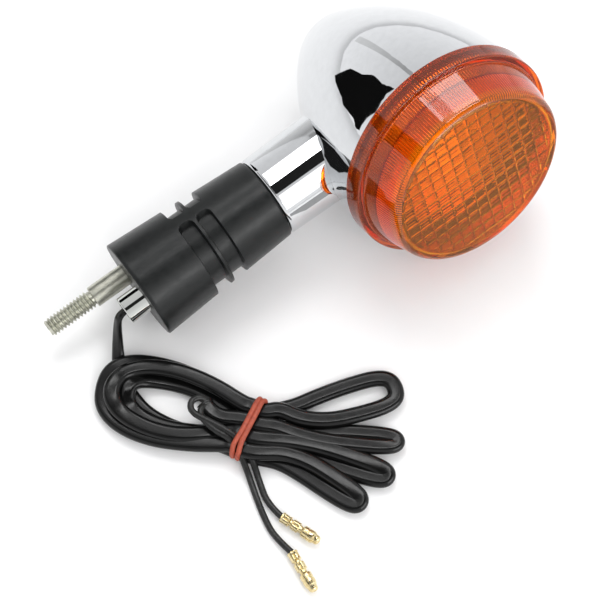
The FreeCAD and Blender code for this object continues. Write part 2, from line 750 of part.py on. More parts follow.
def socket_bracket():
    plate = block("bracket_plate", ("bracket_front", "- bracket_half_width", "- bracket_half_length"),
                  ("bracket_end", "bracket_half_width", "bracket_half_length"))
    disc = cylinder("bracket_disc", "bracket_half_length", "bracket_front", "bracket_end")
    rounded = common("bracket_outline", [plate, disc])
    span = ("bracket_front - 1", "bracket_end + 1")
    tools = [cylinder("bracket_eye", "socket_radius", *span)]
    for side, offset in (("upper", "screw_offset"), ("lower", "- screw_offset")):
        tools.append(cylinder(side + "_bracket_hole", "screw_radius + 0.2", *span, "0", offset))
    node(cut("bracket", rounded, tools), "socket_bracket", LENS)


RECESS_ARMS = [("across", "recess_long", "recess_short"), ("upright", "recess_short", "recess_long")]


def bracket_screws():
    """Two pan-head screws with a cross recess."""
    screws = []
    for side, offset in (("upper", "screw_offset"), ("lower", "- screw_offset")):
        head = cylinder(side + "_head", "screw_head_radius", "screw_head_front", "washer_front", "0",
                        offset)
        shank = cylinder(side + "_shank", "screw_radius", "washer_front", "screw_end", "0", offset)
        slots = []
        for tag, wide, tall in RECESS_ARMS:
            low = ("screw_head_front - 1", f"- {wide}", f"{offset} - {tall}")
            high = ("screw_head_front + 1.2", wide, f"{offset} + {tall}")
            slots.append(block(f"{side}_{tag}_slot", low, high))
        screws.append(cut(side + "_screw", fuse(side + "_blank", [head, shank]), slots))
    node(fuse("screws", screws), "bracket_screws", LENS)


def lock_washer():
    """Split washer under the lower screw."""
    span = ("washer_front", "bracket_front")
    disc = cylinder("washer_disc", "screw_head_radius - 0.1", *span, "0", "- screw_offset")
    hole = cylinder("washer_hole", "screw_radius", "washer_front - 1", "bracket_front + 1", "0",
                    "- screw_offset")
    gap = block("washer_gap", ("washer_front - 1", "0", "- screw_offset - 0.25"),
                ("bracket_front + 1", "5", "- screw_offset + 0.25"))
    node(cut("washer", disc, [hole, gap]), "lock_washer", LENS)


def ground_terminal():
    """Ring terminal under the upper screw, with its barrel towards the stem."""
    span = ("washer_front", "bracket_front")
    ring = cylinder("terminal_ring", "screw_head_radius + 0.3", *span, "0", "screw_offset")
    tongue = block("terminal_tongue", ("washer_front", "2", "screw_offset - 1.3"),
                   ("bracket_front", "6.5", "screw_offset + 1.3"))
    barrel = crossbar("terminal_barrel", "wire_radius + 0.45", "5.5", "11", "barrel_height", "screw_offset")
    tools = [
        cylinder("terminal_hole", "screw_radius", "washer_front - 1", "bracket_front + 1", "0",
                 "screw_offset"),
        crossbar("terminal_bore", "wire_radius", "7", "12", "barrel_height", "screw_offset"),
    ]
    node(cut("terminal", fuse("terminal_blank", [ring, tongue, barrel]), tools), "ground_terminal", LENS)


def contact_carrier():
    disc = cylinder("carrier_disc", "carrier_radius", "carrier_front", "carrier_end")
    hole = cylinder("carrier_hole", "contact_radius", "carrier_front - 1", "carrier_end + 1")
    node(cut("carrier", disc, [hole]), "contact_carrier", LENS)


def contact_pin():
    pin = turned("pin", [
        ("contact_front", "0"),
        ("contact_front", "contact_radius - 0.6"),
        ("contact_front + 0.4", "contact_radius"),
        ("contact_end", "contact_radius"),
        ("contact_end", "0"),
    ])
    node(pin, "contact_pin", LENS)


def contact_spring():
    """Compression spring between the carrier and the socket's bottom, bent in short straights."""
    wire = amount("spring_wire")
    start = amount("carrier_end") + wire
    height = amount("socket_floor - carrier_end") - 2 * wire
    radius = amount("spring_radius")
    steps = round(amount("spring_turns") * STEPS_PER_TURN)
    points = []
    for step in range(steps + 1):
        angle = 2 * math.pi * step / STEPS_PER_TURN
        along = start + height * step / steps
        points.append(V(along, radius * math.cos(angle), radius * math.sin(angle)))
    ring = Part.Wire([Part.Circle(points[0], points[1] - points[0], wire).toShape()])
    coil = Part.makePolygon(points).makePipeShell([ring], True, False, MITRED)
    node(solid("spring", coil), "contact_spring", LENS)


# ---------------------------------------------------------------- bulb
def bulb_base():
    """Brass cap with two bayonet pins."""
    cap = turned("cap", [
        ("0", "base_radius - base_skin"),
        ("0", "base_radius"),
        ("base_end", "base_radius"),
        ("base_end", "base_radius - 2"),
        ("base_end - base_skin", "base_radius - 2"),
        ("base_end - base_skin", "base_radius - base_skin"),
    ])
    left = crossbar("left_pin", "pin_radius", "base_radius - 0.3", "pin_reach", "pin_depth", "0")
    right = crossbar("right_pin", "pin_radius", "- pin_reach", "- base_radius + 0.3", "pin_depth", "0")
    node(fuse("base", [cap, left, right]), "bulb_base", LENS)


def bulb_insulator():
    body = turned("black_glass", [
        ("base_end - 1.5", "bulb_contact_radius"),
        ("base_end - 1.5", "base_radius - 2"),
        ("base_end", "base_radius - 2"),
        ("base_end + 0.7", "base_radius - 4"),
        ("base_end + 0.7", "bulb_contact_radius"),
    ])
    node(body, "bulb_insulator", LENS)


def bulb_contact():
    body = turned("solder_contact", [
        ("base_end - 1.5", "0"),
        ("base_end - 1.5", "bulb_contact_radius"),
        ("bulb_tip_contact - 0.5", "bulb_contact_radius"),
        ("bulb_tip_contact", "0"),
    ], {2: (ON_AXIS, -1)})
    node(body, "bulb_contact", LENS)


def bulb_glass():
    """Globe and neck, blown in one."""
    body = turned("globe", [
        ("neck_end", "neck_radius"),
        ("neck_start", "neck_radius"),
        ("globe_joint", "globe_joint_radius"),
        ("globe_centre - globe_radius", "0"),
        ("globe_centre - globe_radius + glass_skin", "0"),
        ("globe_joint", "globe_joint_inner"),
        ("neck_start", "neck_radius - glass_skin"),
        ("neck_end", "neck_radius - glass_skin"),
    ], {2: (ON_AXIS, 1), 4: (ON_AXIS, -1)})
    node(body, "bulb_glass", LENS)


def bulb_stem():
    """Glass foot inside the neck, drawn to a bead that holds the filament's posts."""
    body = turned("glass_foot", [
        ("bead_tip", "0"),
        ("bead_tip", "1.2"),
        ("- 1", "1.8"),
        ("neck_end - 1", "4.6"),
        ("neck_end - 1", "neck_radius - glass_skin"),
        ("neck_end", "neck_radius - glass_skin"),
        ("neck_end", "0"),
    ])
    node(body, "bulb_stem", LENS)


def rod(name, start, end, radius):
    """A straight wire between two points."""
    return Part.makeCylinder(radius, (end - start).Length, start, end - start)


def filament_posts():
    """Two stiff wires that spread from the bead to the filament's ends."""
    posts = []
    for side in (-1, 1):
        root = V(amount("bead_tip - 0.05"), side * 0.7, 0)
        tip = V(amount("filament_height"), side * amount("filament_half"), 0)
        posts.append(rod("post", root, tip, amount("post_radius")))
    node(solid("posts", Part.makeCompound(posts)), "filament_posts", LENS)


def filament():
    """The coiled filament, as the cylinder that it winds round."""
    half = amount("filament_half")
    rise = amount("filament_height - filament_radius - post_radius")
    coil = rod("coil", V(rise, -half, 0), V(rise, half, 0), amount("filament_radius"))
    node(solid("coil", coil), "filament", LENS)


# ---------------------------------------------------------------- wiring inside
def inner_wires():
    """The two wires from the socket and the ground terminal down to the sleeve in the stem."""
    entry = amount("lens_axis - sleeve_entry - 0.3")
    radius = amount("wire_radius")
    height = amount("barrel_height")
    power = [(amount("contact_end + 0.1"), 0, 0), (33, 0, 0), (37, 6, -1), (30, 14, -3), (18, 18, -4),
             (8, 22, -3), (2, 29, -radius), (0, entry, -radius)]
    ground = [(height, 7, amount("screw_offset")), (height, 14, amount("screw_offset")), (9, 20, 13),
              (4, 27, 5), (0, 32, radius), (0.2, entry, radius)]
    node(solid("power", tube("power_wire", power, radius)), "power_wire", LENS)
    node(solid("ground", tube("ground_wire", ground, radius)), "ground_wire", LENS)


def lead_core():
    """The sleeve with both wires, from the stem through the rubber to the wire tube's mouth."""
    aside = amount("tube_offset")
    route = [(amount("tube_mouth"), aside, 0), (41, aside, 0), (53, 0, 0), (amount("sleeve_entry"), 0, 0)]
    node(solid("lead", tube("lead_core", route, amount("sleeve_radius"))), "lead_core")


# ---------------------------------------------------------------- the lead on the table
def smooth_loop(points):
    """A closed smooth wire through points in plan."""
    curve = Part.BSplineCurve()
    curve.interpolate(Points=[V(x, y, 0) for x, y in points], PeriodicFlag=True)
    return Part.Wire([curve.toShape()])


HANK_OUTLINE = [
    (-42, -45), (-31, -51), (-13, -56), (-4, -60), (-2, -66), (-5, -74), (-15, -80), (-20, -86),
    (-28, -91), (-39, -91), (-45, -83), (-50, -72), (-55, -62), (-60, -55), (-70, -48), (-79, -37),
    (-84, -25), (-83, -14), (-77, -7), (-68, -8), (-58, -15), (-49, -26),
]
LEFT_GAP = [(-67, -16), (-61, -22), (-57, -33), (-63, -35), (-70, -26), (-71, -19)]
RIGHT_GAP = [(-30, -54), (-20, -57), (-10, -62), (-6, -67), (-10, -70), (-20, -64)]
DROP_ROUTE = [(-62.4, 0.6, 17.1), (-66.2, 0.6, 16.5), (-69, -0.3, 12.9), (-69.7, -2, 8.3),
              (-71.2, -5.4, 4.6), (-72.4, -8.4, 3.2)]
POWER_ROUTE = [(-57.5, -53.5, 5.5), (-58.5, -60, 2.1), (-61, -68, 1.05), (-63.5, -77, 1.05),
               (-64.5, -84, 1.4), (-63.2, -91, 1.95)]
GROUND_ROUTE = [(-55, -56, 5.5), (-56, -61, 2.1), (-58, -67, 1.05), (-60, -74, 1.4), (-59, -80, 1.95)]
POWER_HEADING = (-1.5, -14.4, 0)
GROUND_HEADING = (4.5, -12.8, 0)


def tie_blank(shrink, width):
    """A rounded bar across the tied lead, as large as the rubber band less `shrink`."""
    reach = amount("tie_half_length") - shrink
    height = amount("hank_height + tie_skin") - 2 * shrink
    bar = Part.makeBox(2 * reach, width, height, V(-reach, -width / 2, shrink))
    ends = [edge for edge in bar.Edges if abs(edge.Length - width) < 1e-6]
    return bar.makeFillet(amount("hank_round") + 1 - shrink, ends)


def lead_hank():
    """The tied lead as one closed solid, with the two open loops, and the band around it."""
    face = Part.Face([smooth_loop(HANK_OUTLINE)])
    slab = face.extrude(V(0, 0, amount("hank_height")))
    rims = [edge for edge in slab.Edges if edge.BoundBox.ZLength < 1e-3]
    slab = slab.makeFillet(amount("hank_round"), rims).Solids[0]
    for gap in (LEFT_GAP, RIGHT_GAP):
        hole = Part.Face([smooth_loop(gap)]).extrude(V(0, 0, amount("hank_height + 2")))
        slab = slab.cut(hole.translated(V(0, 0, -1)))
    across = FreeCAD.Placement(V(amount("tie_x"), amount("tie_y"), 0),
                               FreeCAD.Rotation(Z_AXIS, amount("tie_turn")))
    width = amount("tie_width")
    outer = tie_blank(0, width)
    inner = tie_blank(amount("tie_skin"), width + 1)
    band = outer.cut(inner)
    groove_blank = Part.makeBox(40, width, 20, V(-20, -width / 2, -1)).cut(inner)
    groove_blank.Placement = across
    table_node(solid("hank", slab.cut(groove_blank)), "lead_hank")
    table_node(solid("band", band), "hank_tie", across)


def bullet_terminal(name, start, heading):
    """Crimped brass bullet, lying on the table."""
    terminal = turned(name, [
        ("0", "wire_radius"),
        ("0", "wire_radius + crimp_skin"),
        ("crimp_end", "wire_radius + crimp_skin"),
        ("crimp_end + 0.6", "bullet_radius - 0.25"),
        ("waist_start - 0.4", "bullet_radius - 0.25"),
        ("waist_start", "bullet_radius - waist_depth"),
        ("waist_end", "bullet_radius - waist_depth"),
        ("waist_end + 0.4", "bullet_radius"),
        ("bullet_length - 2.4", "bullet_radius"),
        ("bullet_length - 1.6", "bullet_radius - 0.45"),
        ("bullet_length - 0.3", "bullet_radius - 0.75"),
        ("bullet_length", "bullet_radius - 1.1"),
        ("bullet_length", "0"),
        ("crimp_end", "0"),
        ("crimp_end", "wire_radius"),
    ])
    frame = FreeCAD.Placement(V(*start), FreeCAD.Rotation(X_AXIS, V(*heading)))
    table_node(terminal, name, frame)


def lead_ends():
    """The sleeve's drop to the table, and the two wires that come out from under the band."""
    radius = amount("wire_radius")
    table_node(solid("drop", tube("lead_drop", DROP_ROUTE, amount("sleeve_radius"))), "lead_drop")
    for label, route in (("power_tail", POWER_ROUTE), ("ground_tail", GROUND_ROUTE)):
        table_node(solid(label, tube(label, route, radius)), label)
    bullet_terminal("power_bullet", POWER_ROUTE[-1], POWER_HEADING)
    bullet_terminal("ground_bullet", GROUND_ROUTE[-1], GROUND_HEADING)


# ---------------------------------------------------------------- build, check and write
MAKERS = [
    damper_foot, damper_neck, damper_collar, mount_plate, mounting_stud, wire_guide_tube, stem_core,
    stem_set_screw, housing_shell, lens, lens_gasket, reflector, socket_shell, socket_bracket,
    bracket_screws, lock_washer, ground_terminal, contact_carrier, contact_pin, contact_spring,
    bulb_base, bulb_insulator, bulb_contact, bulb_glass, bulb_stem, filament_posts, filament,
    inner_wires, lead_core, lead_hank, lead_ends,
]


def check_document():
    """Stop on anything that failed to compute."""
    for item in doc.Objects:
        if "Invalid" in item.State or "Error" in item.State:
            raise RuntimeError(f"{item.Name} did not compute: {item.State}")
    for item in nodes:
        shape = item.Shape
        if shape.isNull() or not shape.isValid() or shape.Volume <= 0:
            raise RuntimeError(f"{item.Label} has no valid shape")


for make in MAKERS:
    make()
doc.recompute()
check_document()
os.makedirs("parts", exist_ok=True)
for item in nodes:
    item.Shape.exportStep(f"parts/{item.Label}.step")
print(len(nodes), "sub-parts written")
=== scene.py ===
"""Looks for a motorcycle turn signal that lies on a table beside its tied lead.

The row frame is metres with +Z up off the table. The lamp has a frame of its own: +X along
the stem towards the lamp head, -Y out of the lens, +Z up when it is fitted. The lens frame has
+X along the lamp's +Y, so that turned shapes run along X in both. Sizes below are millimetres,
as in the CAD, and are turned into metres when a mesh is made.
"""
import json
import math
import bmesh
import bpy
import numpy as np
from mathutils import Matrix, Vector

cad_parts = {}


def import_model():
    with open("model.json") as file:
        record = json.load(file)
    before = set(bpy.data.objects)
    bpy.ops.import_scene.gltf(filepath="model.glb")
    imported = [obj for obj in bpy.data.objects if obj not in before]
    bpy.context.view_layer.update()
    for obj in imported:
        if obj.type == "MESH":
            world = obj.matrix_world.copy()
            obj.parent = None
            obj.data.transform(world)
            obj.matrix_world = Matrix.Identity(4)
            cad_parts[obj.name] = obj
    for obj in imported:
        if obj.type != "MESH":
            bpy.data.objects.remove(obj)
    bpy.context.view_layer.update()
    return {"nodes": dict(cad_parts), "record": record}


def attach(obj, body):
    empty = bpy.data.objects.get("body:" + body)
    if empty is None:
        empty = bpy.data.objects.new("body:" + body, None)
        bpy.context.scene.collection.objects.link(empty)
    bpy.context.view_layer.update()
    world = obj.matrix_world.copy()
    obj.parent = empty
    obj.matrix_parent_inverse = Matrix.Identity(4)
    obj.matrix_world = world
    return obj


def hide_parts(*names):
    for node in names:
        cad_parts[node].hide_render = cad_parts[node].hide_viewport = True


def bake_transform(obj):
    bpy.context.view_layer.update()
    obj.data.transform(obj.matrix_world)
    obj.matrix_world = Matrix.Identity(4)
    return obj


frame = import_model()
MM = 0.001

# ---------------------------------------------------------------- frames
FOOT_CENTRE = (-54.8, 4.4, 17.08)
PITCH_ANGLE, ROLL_ANGLE = -8.1, -16.2
LENS_REACH = 104.7
STUD_SIDE, GUIDE_SIDE = 8.5, -4.0
LAMP = (Matrix.Translation(Vector(FOOT_CENTRE) * MM)
        @ Matrix.Rotation(math.radians(PITCH_ANGLE), 4, "Y")
        @ Matrix.Rotation(math.radians(ROLL_ANGLE), 4, "X"))
LENS = LAMP @ Matrix.Translation((LENS_REACH * MM, 0, 0)) @ Matrix.Rotation(math.radians(90), 4, "Z")
STUD = LAMP @ Matrix.Translation((0, STUD_SIDE * MM, 0))
GUIDE = LAMP @ Matrix.Translation((0, GUIDE_SIDE * MM, 0))
TABLE = Matrix.Identity(4)


# ---------------------------------------------------------------- materials
def shader_of(material):
    return material.node_tree.nodes["Principled BSDF"]


def new_material(name, colour, roughness, metallic=0.0, **extra):
    """A Principled material. `extra` names other sockets, with _ for a space."""
    material = bpy.data.materials.new(name)
    material.use_nodes = True
    shader = shader_of(material)
    shader.inputs["Base Color"].default_value = (*colour, 1)
    shader.inputs["Roughness"].default_value = roughness
    shader.inputs["Metallic"].default_value = metallic
    for socket, value in extra.items():
        shader.inputs[socket.replace("_", " ")].default_value = value
    return material


def noise(material, scale, detail=3.0):
    """Noise in object space, with `scale` features per metre."""
    nodes = material.node_tree.nodes
    place = nodes.new("ShaderNodeTexCoord")
    texture = nodes.new("ShaderNodeTexNoise")
    texture.inputs["Scale"].default_value = scale
    texture.inputs["Detail"].default_value = detail
    material.node_tree.links.new(place.outputs["Object"], texture.inputs["Vector"])
    return texture.outputs["Fac"]


def ramp(owner, fac, stops):
    """Colours or greys along a value, in the nodes of a material or a world."""
    node = owner.node_tree.nodes.new("ShaderNodeValToRGB")
    elements = node.color_ramp.elements
    while len(elements) < len(stops):
        elements.new(0.5)
    for element, (at, colour) in zip(elements, stops):
        element.position = at
        element.color = (*colour, 1) if hasattr(colour, "__len__") else (colour,) * 3 + (1,)
    owner.node_tree.links.new(fac, node.inputs["Fac"])
    return node.outputs["Color"]


def drive(material, socket, output):
    """Run one of the shader's sockets from a node."""
    material.node_tree.links.new(output, shader_of(material).inputs[socket])


def bump(material, height, depth_mm, strength=1.0):
    node = material.node_tree.nodes.new("ShaderNodeBump")
    node.inputs["Strength"].default_value = strength
    node.inputs["Distance"].default_value = depth_mm * MM
    material.node_tree.links.new(height, node.inputs["Height"])
    drive(material, "Normal", node.outputs["Normal"])


def varied(material, dark, light, scale, roughness, detail=3.0):
    """Mottle the colour between two shades and the roughness between two values."""
    cloud = noise(material, scale, detail)
    drive(material, "Base Color", ramp(material, cloud, [(0.3, dark), (0.7, light)]))
    wear = noise(material, scale * 2.3, detail)
    drive(material, "Roughness", ramp(material, wear, [(0.3, roughness[0]), (0.7, roughness[1])]))


def make_rubber():
    material = new_material("black_rubber", (0.008, 0.009, 0.009), 0.34, Specular_IOR_Level=0.27)
    varied(material, (0.006, 0.007, 0.007), (0.010, 0.011, 0.011), 260, (0.28, 0.38))
    bump(material, noise(material, 5200, 2.0), 0.03, 0.35)
    return material


def make_chrome(name, tint=(0.65, 0.662, 0.675)):
    material = new_material(name, tint, 0.03, 1.0)
    haze = noise(material, 70, 4.0)
    drive(material, "Roughness", ramp(material, haze, [(0.35, 0.018), (0.75, 0.05)]))
    dust = noise(material, 420, 4.0)
    shades = [(0.3, [c * 0.95 for c in tint]), (0.7, tint)]
    drive(material, "Base Color", ramp(material, dust, shades))
    bump(material, noise(material, 60, 1.0), 0.02, 0.15)
    return material


def make_metal(name, dark, light, roughness, scale=500):
    material = new_material(name, light, roughness[0], 1.0)
    varied(material, dark, light, scale, roughness, 4.0)
    bump(material, noise(material, scale * 6, 2.0), 0.008, 0.5)
    return material


def make_vinyl(name, level, roughness):
    material = new_material(name, (level,) * 3, roughness[0], Specular_IOR_Level=0.3)
    varied(material, (level * 0.8,) * 3, (level * 1.3, level * 1.3, level * 1.25), 180, roughness)
    bump(material, noise(material, 900, 3.0), 0.05, 0.25)
    return material


FACE_BACK = -42.3
DRUM_FRONT = -41.3


def make_amber():
    """Amber plastic with painted shade: the drum is painted darker and redder than the face, though both
    are one plastic. FACE_BACK and DRUM_FRONT are on the lens axis.
    """
    # The drum colour is painted shade, darker and redder than the face colour of the same plastic.
    face, drum = (1.0, 0.37, 0.006), (1.0, 0.16, 0.003)
    material = new_material("lens_amber", face, 0.02, Transmission_Weight=0.925, IOR=1.49)
    nodes, links = material.node_tree.nodes, material.node_tree.links
    place = nodes.new("ShaderNodeTexCoord")
    along = nodes.new("ShaderNodeVectorMath")
    along.operation = "DOT_PRODUCT"
    axis = LENS.to_3x3() @ Vector((1, 0, 0))
    along.inputs[1].default_value = axis
    span = nodes.new("ShaderNodeMapRange")
    origin = axis.dot(LENS.translation)
    span.inputs["From Min"].default_value = origin + FACE_BACK * MM
    span.inputs["From Max"].default_value = origin + DRUM_FRONT * MM
    links.new(place.outputs["Object"], along.inputs[0])
    links.new(along.outputs["Value"], span.inputs["Value"])
    drive(material, "Base Color", ramp(material, span.outputs["Result"], [(0.0, face), (1.0, drum)]))
    haze = noise(material, 300, 3.0)
    drive(material, "Roughness", ramp(material, haze, [(0.4, 0.0), (0.8, 0.03)]))
    return material


def make_glass():
    material = new_material("bulb_glass", (0.97, 0.98, 1.0), 0.02, Transmission_Weight=1.0, IOR=1.5)
    haze = noise(material, 200, 2.0)
    drive(material, "Roughness", ramp(material, haze, [(0.4, 0.0), (0.8, 0.03)]))
    return material


def make_plain(name, dark, light, roughness, scale=400, grain_mm=0.02):
    material = new_material(name, light, roughness[0])
    varied(material, dark, light, scale, roughness)
    bump(material, noise(material, scale * 5, 2.0), grain_mm, 0.4)
    return material


LOOKS = {
    "black_rubber": make_rubber(),
    "gasket_rubber": make_plain("gasket_rubber", (0.02, 0.02, 0.02), (0.04, 0.04, 0.04), (0.6, 0.75)),
    "band_rubber": make_plain("band_rubber", (0.27, 0.04, 0.018), (0.40, 0.068, 0.028), (0.5, 0.7),
                              900, 0.06),
    "housing_chrome": make_chrome("housing_chrome"),
    "zinc_steel": make_metal("zinc_steel", (0.46, 0.46, 0.39), (0.62, 0.62, 0.54), (0.3, 0.42)),
    "plated_steel": make_metal("plated_steel", (0.62, 0.62, 0.62), (0.78, 0.78, 0.77), (0.16, 0.3)),
    "tube_chrome": make_chrome("tube_chrome", (0.62, 0.63, 0.61)),
    "lens_amber": make_amber(),
    "reflector_chrome": make_metal("reflector_chrome", (0.92, 0.92, 0.92), (0.97, 0.97, 0.97),
                                   (0.34, 0.44), 90),
    "bulb_brass": make_metal("bulb_brass", (0.60, 0.44, 0.19), (0.78, 0.61, 0.31), (0.2, 0.35)),
    "bulb_glass": make_glass(),
    "black_glass": make_plain("black_glass", (0.01, 0.01, 0.012), (0.02, 0.02, 0.025), (0.05, 0.15)),
    "solder": make_metal("solder", (0.5, 0.5, 0.5), (0.65, 0.65, 0.64), (0.3, 0.45)),
    "tungsten": make_metal("tungsten", (0.28, 0.28, 0.29), (0.4, 0.4, 0.4), (0.35, 0.5)),
    "phenolic": make_plain("phenolic", (0.10, 0.045, 0.02), (0.16, 0.075, 0.035), (0.5, 0.65)),
    "sleeve_vinyl": make_vinyl("sleeve_vinyl", 0.004, (0.16, 0.24)),
    "wire_vinyl": make_vinyl("wire_vinyl", 0.016, (0.2, 0.34)),
    "terminal_brass": make_metal("terminal_brass", (0.66, 0.52, 0.25), (0.86, 0.74, 0.45),
                                 (0.14, 0.3), 800),
}


# ---------------------------------------------------------------- mesh helpers
def add_mesh(name, points, faces, frame_of, slot, body, crease=35, join=True):
    """A smooth mesh from points in millimetres. It rides on `body` unless that is None."""
    points = np.asarray(points, float).reshape(-1, 3) * MM
    matrix = np.array(frame_of)
    mesh = bpy.data.meshes.new(name)
    mesh.from_pydata((points @ matrix[:3, :3].T + matrix[:3, 3]).tolist(), [], faces)
    work = bmesh.new()
    work.from_mesh(mesh)
    if join:
        bmesh.ops.remove_doubles(work, verts=work.verts, dist=1e-7)
    bmesh.ops.dissolve_degenerate(work, edges=work.edges, dist=1e-8)
    bmesh.ops.recalc_face_normals(work, faces=work.faces)
    work.to_mesh(mesh)
    work.free()
    mesh.shade_smooth()
    mesh.set_sharp_from_angle(angle=math.radians(crease))
    mesh.materials.append(LOOKS[slot])
    piece = bpy.data.objects.new(name, mesh)
    bpy.context.collection.objects.link(piece)
    if body:
        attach(piece, body)
    return piece


def grid_faces(rows, columns, loop=False):
    """Quads between neighbouring rings of points, and between the last and first if `loop`."""
    faces = []
    for row in range(rows if loop else rows - 1):
        here, there = row * columns, (row + 1) % rows * columns
        for column in range(columns):
            after = (column + 1) % columns
            faces.append((here + column, here + after, there + after, there + column))
    return faces


def soften(corners, steps=5):
    """An outline from (x, radius, rounding) corners, with the rounded ones eased."""
    out = []
    last = len(corners) - 1
    for i, (x, r, round_by) in enumerate(corners):
        if not round_by or i in (0, last):
            out.append((x, r))
            continue
        here = np.array((x, r))
        before = np.array(corners[i - 1][:2]) - here
        after = np.array(corners[i + 1][:2]) - here
        start = here + before / np.linalg.norm(before) * round_by
        end = here + after / np.linalg.norm(after) * round_by
        for step in range(steps + 1):
            t = step / steps
            out.append(tuple((1 - t) ** 2 * start + 2 * t * (1 - t) * here + t * t * end))
    return out


def rings(outline, segments):
    """Points of a shape turned about X."""
    angles = np.arange(segments) * 2 * math.pi / segments
    outline = np.asarray(outline, float)
    points = np.empty((len(outline), segments, 3))
    points[:, :, 0] = outline[:, :1]
    points[:, :, 1] = outline[:, 1:] * np.cos(angles)
    points[:, :, 2] = outline[:, 1:] * np.sin(angles)
    return points


def turned(name, outline, frame_of, slot, body, segments=96, loop=False, crease=35):
    points = rings(outline, segments)
    faces = grid_faces(len(outline), segments, loop)
    return add_mesh(name, points, faces, frame_of, slot, body, crease)


# ---------------------------------------------------------------- cords
def spline_points(points_mm, resolution=8):
    """The line of a NURBS spline that has these control points, in metres."""
    curve = bpy.data.curves.new("route", "CURVE")
    curve.dimensions = "3D"
    spline = curve.splines.new("NURBS")
    spline.points.add(len(points_mm) - 1)
    for point, place in zip(spline.points, points_mm):
        point.co = (*[c * MM for c in place], 1)
    spline.order_u = 3
    spline.use_endpoint_u = True
    curve.resolution_u = resolution
    holder = bpy.data.objects.new("route", curve)
    bpy.context.collection.objects.link(holder)
    bpy.context.view_layer.update()
    line = bpy.data.meshes.new_from_object(holder)
    path = [vertex.co.copy() for vertex in line.vertices]
    bpy.data.objects.remove(holder)
    bpy.data.curves.remove(curve)
    bpy.data.meshes.remove(line)
    return path


def tangents(path):
    """Unit directions along a line of points."""
    ends = [path[0]] + list(path) + [path[-1]]
    return [(after - before).normalized() for before, after in zip(ends, ends[2:])]


SLEEVE_HALF = (2.7, 1.7)
GROOVE_DEPTH, GROOVE_WIDTH = 0.16, 0.3
SIDE_SETTLE = 0.1
SLIM_RUN = 34
DROP_SLIM = 0.42
DROP_SIDE = Vector((0.48, 0.555, -0.455))


def sleeve_section(count=20):
    """The flat two-wire sleeve: an oval with a shallow groove down each face."""
    section = []
    for i in range(count):
        angle = 2 * math.pi * i / count
        wide, tall = math.cos(angle), math.sin(angle)
        pinch = 1 - GROOVE_DEPTH * math.exp(-(wide / GROOVE_WIDTH) ** 2)
        wide = math.copysign(abs(wide) ** 0.85, wide)
        section.append((SLEEVE_HALF[0] * wide, SLEEVE_HALF[1] * tall * pinch))
    return section


def swept(name, path, section, slot, body, side, slim=0.0):
    """A tube of one section along a line, its wide side turning level as it goes.

    `slim` is how much thinner it is at its start, where it hangs, than on the table. It eases
    off over SLIM_RUN.
    """
    points = []
    up = Vector((0, 0, 1))
    run = 0.0
    for i, (at, heading) in enumerate(zip(path, tangents(path))):
        run += (at - path[max(i - 1, 0)]).length
        size = 1 - slim * max(0.0, 1 - run / (SLIM_RUN * MM))
        level = heading.cross(up)
        side = side * (1 - SIDE_SETTLE * level.length) + level * SIDE_SETTLE
        side = (side - heading * side.dot(heading)).normalized()
        top = side.cross(heading)
        points.append([(at + (side * a + top * b) * (size * MM)) / MM for a, b in section])
    count = len(section)
    faces = grid_faces(len(path), count)
    faces.append(tuple(range(count)))
    faces.append(tuple(range((len(path) - 1) * count, len(path) * count)))
    return add_mesh(name, points, faces, TABLE, slot, body, 50, join=False)


BAND_CENTRE = Vector((-51, -51, 0))
BAND_ALONG = Vector((0.875, 0.485, 0)).normalized()
THROUGH = Vector((0.485, -0.875, 0)).normalized()
COLUMNS = (7.2, 2.4, -2.4, -7.2)
UNDER_BAND = 2.6
SPREAD_BY = 0.45
LOWEST, LOW, HIGH = 1.72, 1.8, 5.3
DROP = [(-62.4, 0.6, 17.1), (-64.6, 0.5, 16.7), (-66.0, -0.3, 13.2), (-67.3, -1.6, 8.6),
        (-69.4, -4.2, 4.4), (-71.8, -8.0, 2.2)]
ENTRY = [(-73.3, -12.5, 1.8), (-74.5, -18.5, 1.8), (-74.0, -26.5, 1.8), (-70.5, -34.5, 1.8),
         (-65.5, -41.5, 1.8), (-61.0, -48.5, 1.8)]
LEFT_SHAPE = [(0.10, -0.60), (0.33, -0.92), (0.60, -1.0), (0.82, -0.86), (0.96, -0.5), (1.0, 0.0),
              (0.98, 0.45), (0.88, 0.8), (0.68, 1.0), (0.45, 0.96), (0.22, 0.78)]
RIGHT_SHAPE = [(0.16, 0.30), (0.32, 0.62), (0.52, 0.9), (0.74, 1.0), (0.91, 0.95), (1.0, 0.55),
               (1.0, -0.55), (0.91, -0.95), (0.74, -1.0), (0.52, -0.9), (0.32, -0.62), (0.16, -0.30)]


def leaf(shape, angle, reach, half_width, heights, columns, shift=0.0, flip=False):
    """One loop out from the band and back, from one column of strands to another.

    `shape` is (share of the reach, share of the half width) pairs. The loop leaves its column as
    it goes out, and is at its full width by SPREAD_BY of the reach.
    """
    ahead = Vector((math.cos(math.radians(angle)), math.sin(math.radians(angle)), 0))
    aside = Vector((-ahead.y, ahead.x, 0))
    points = []
    half = len(shape) / 2
    for i, ((u, v), height) in enumerate(zip(shape, heights)):
        lateral = -v if flip else v
        spread = min(1, u / SPREAD_BY)
        spread = spread * spread * (3 - 2 * spread)
        column = COLUMNS[columns[0] if i < half else columns[1]]
        place = BAND_CENTRE + ahead * (u * reach) + aside * (lateral * half_width + shift) * spread
        place += BAND_ALONG * column * (1 - spread)
        points.append((place.x, place.y, height))
    return points


def through_band(column, height, direction):
    """Two points that take a strand straight under the band."""
    middle = BAND_CENTRE + BAND_ALONG * COLUMNS[column]
    points = []
    for step in (-UNDER_BAND, UNDER_BAND):
        place = middle + THROUGH * (step * direction)
        points.append((place.x, place.y, height))
    return points


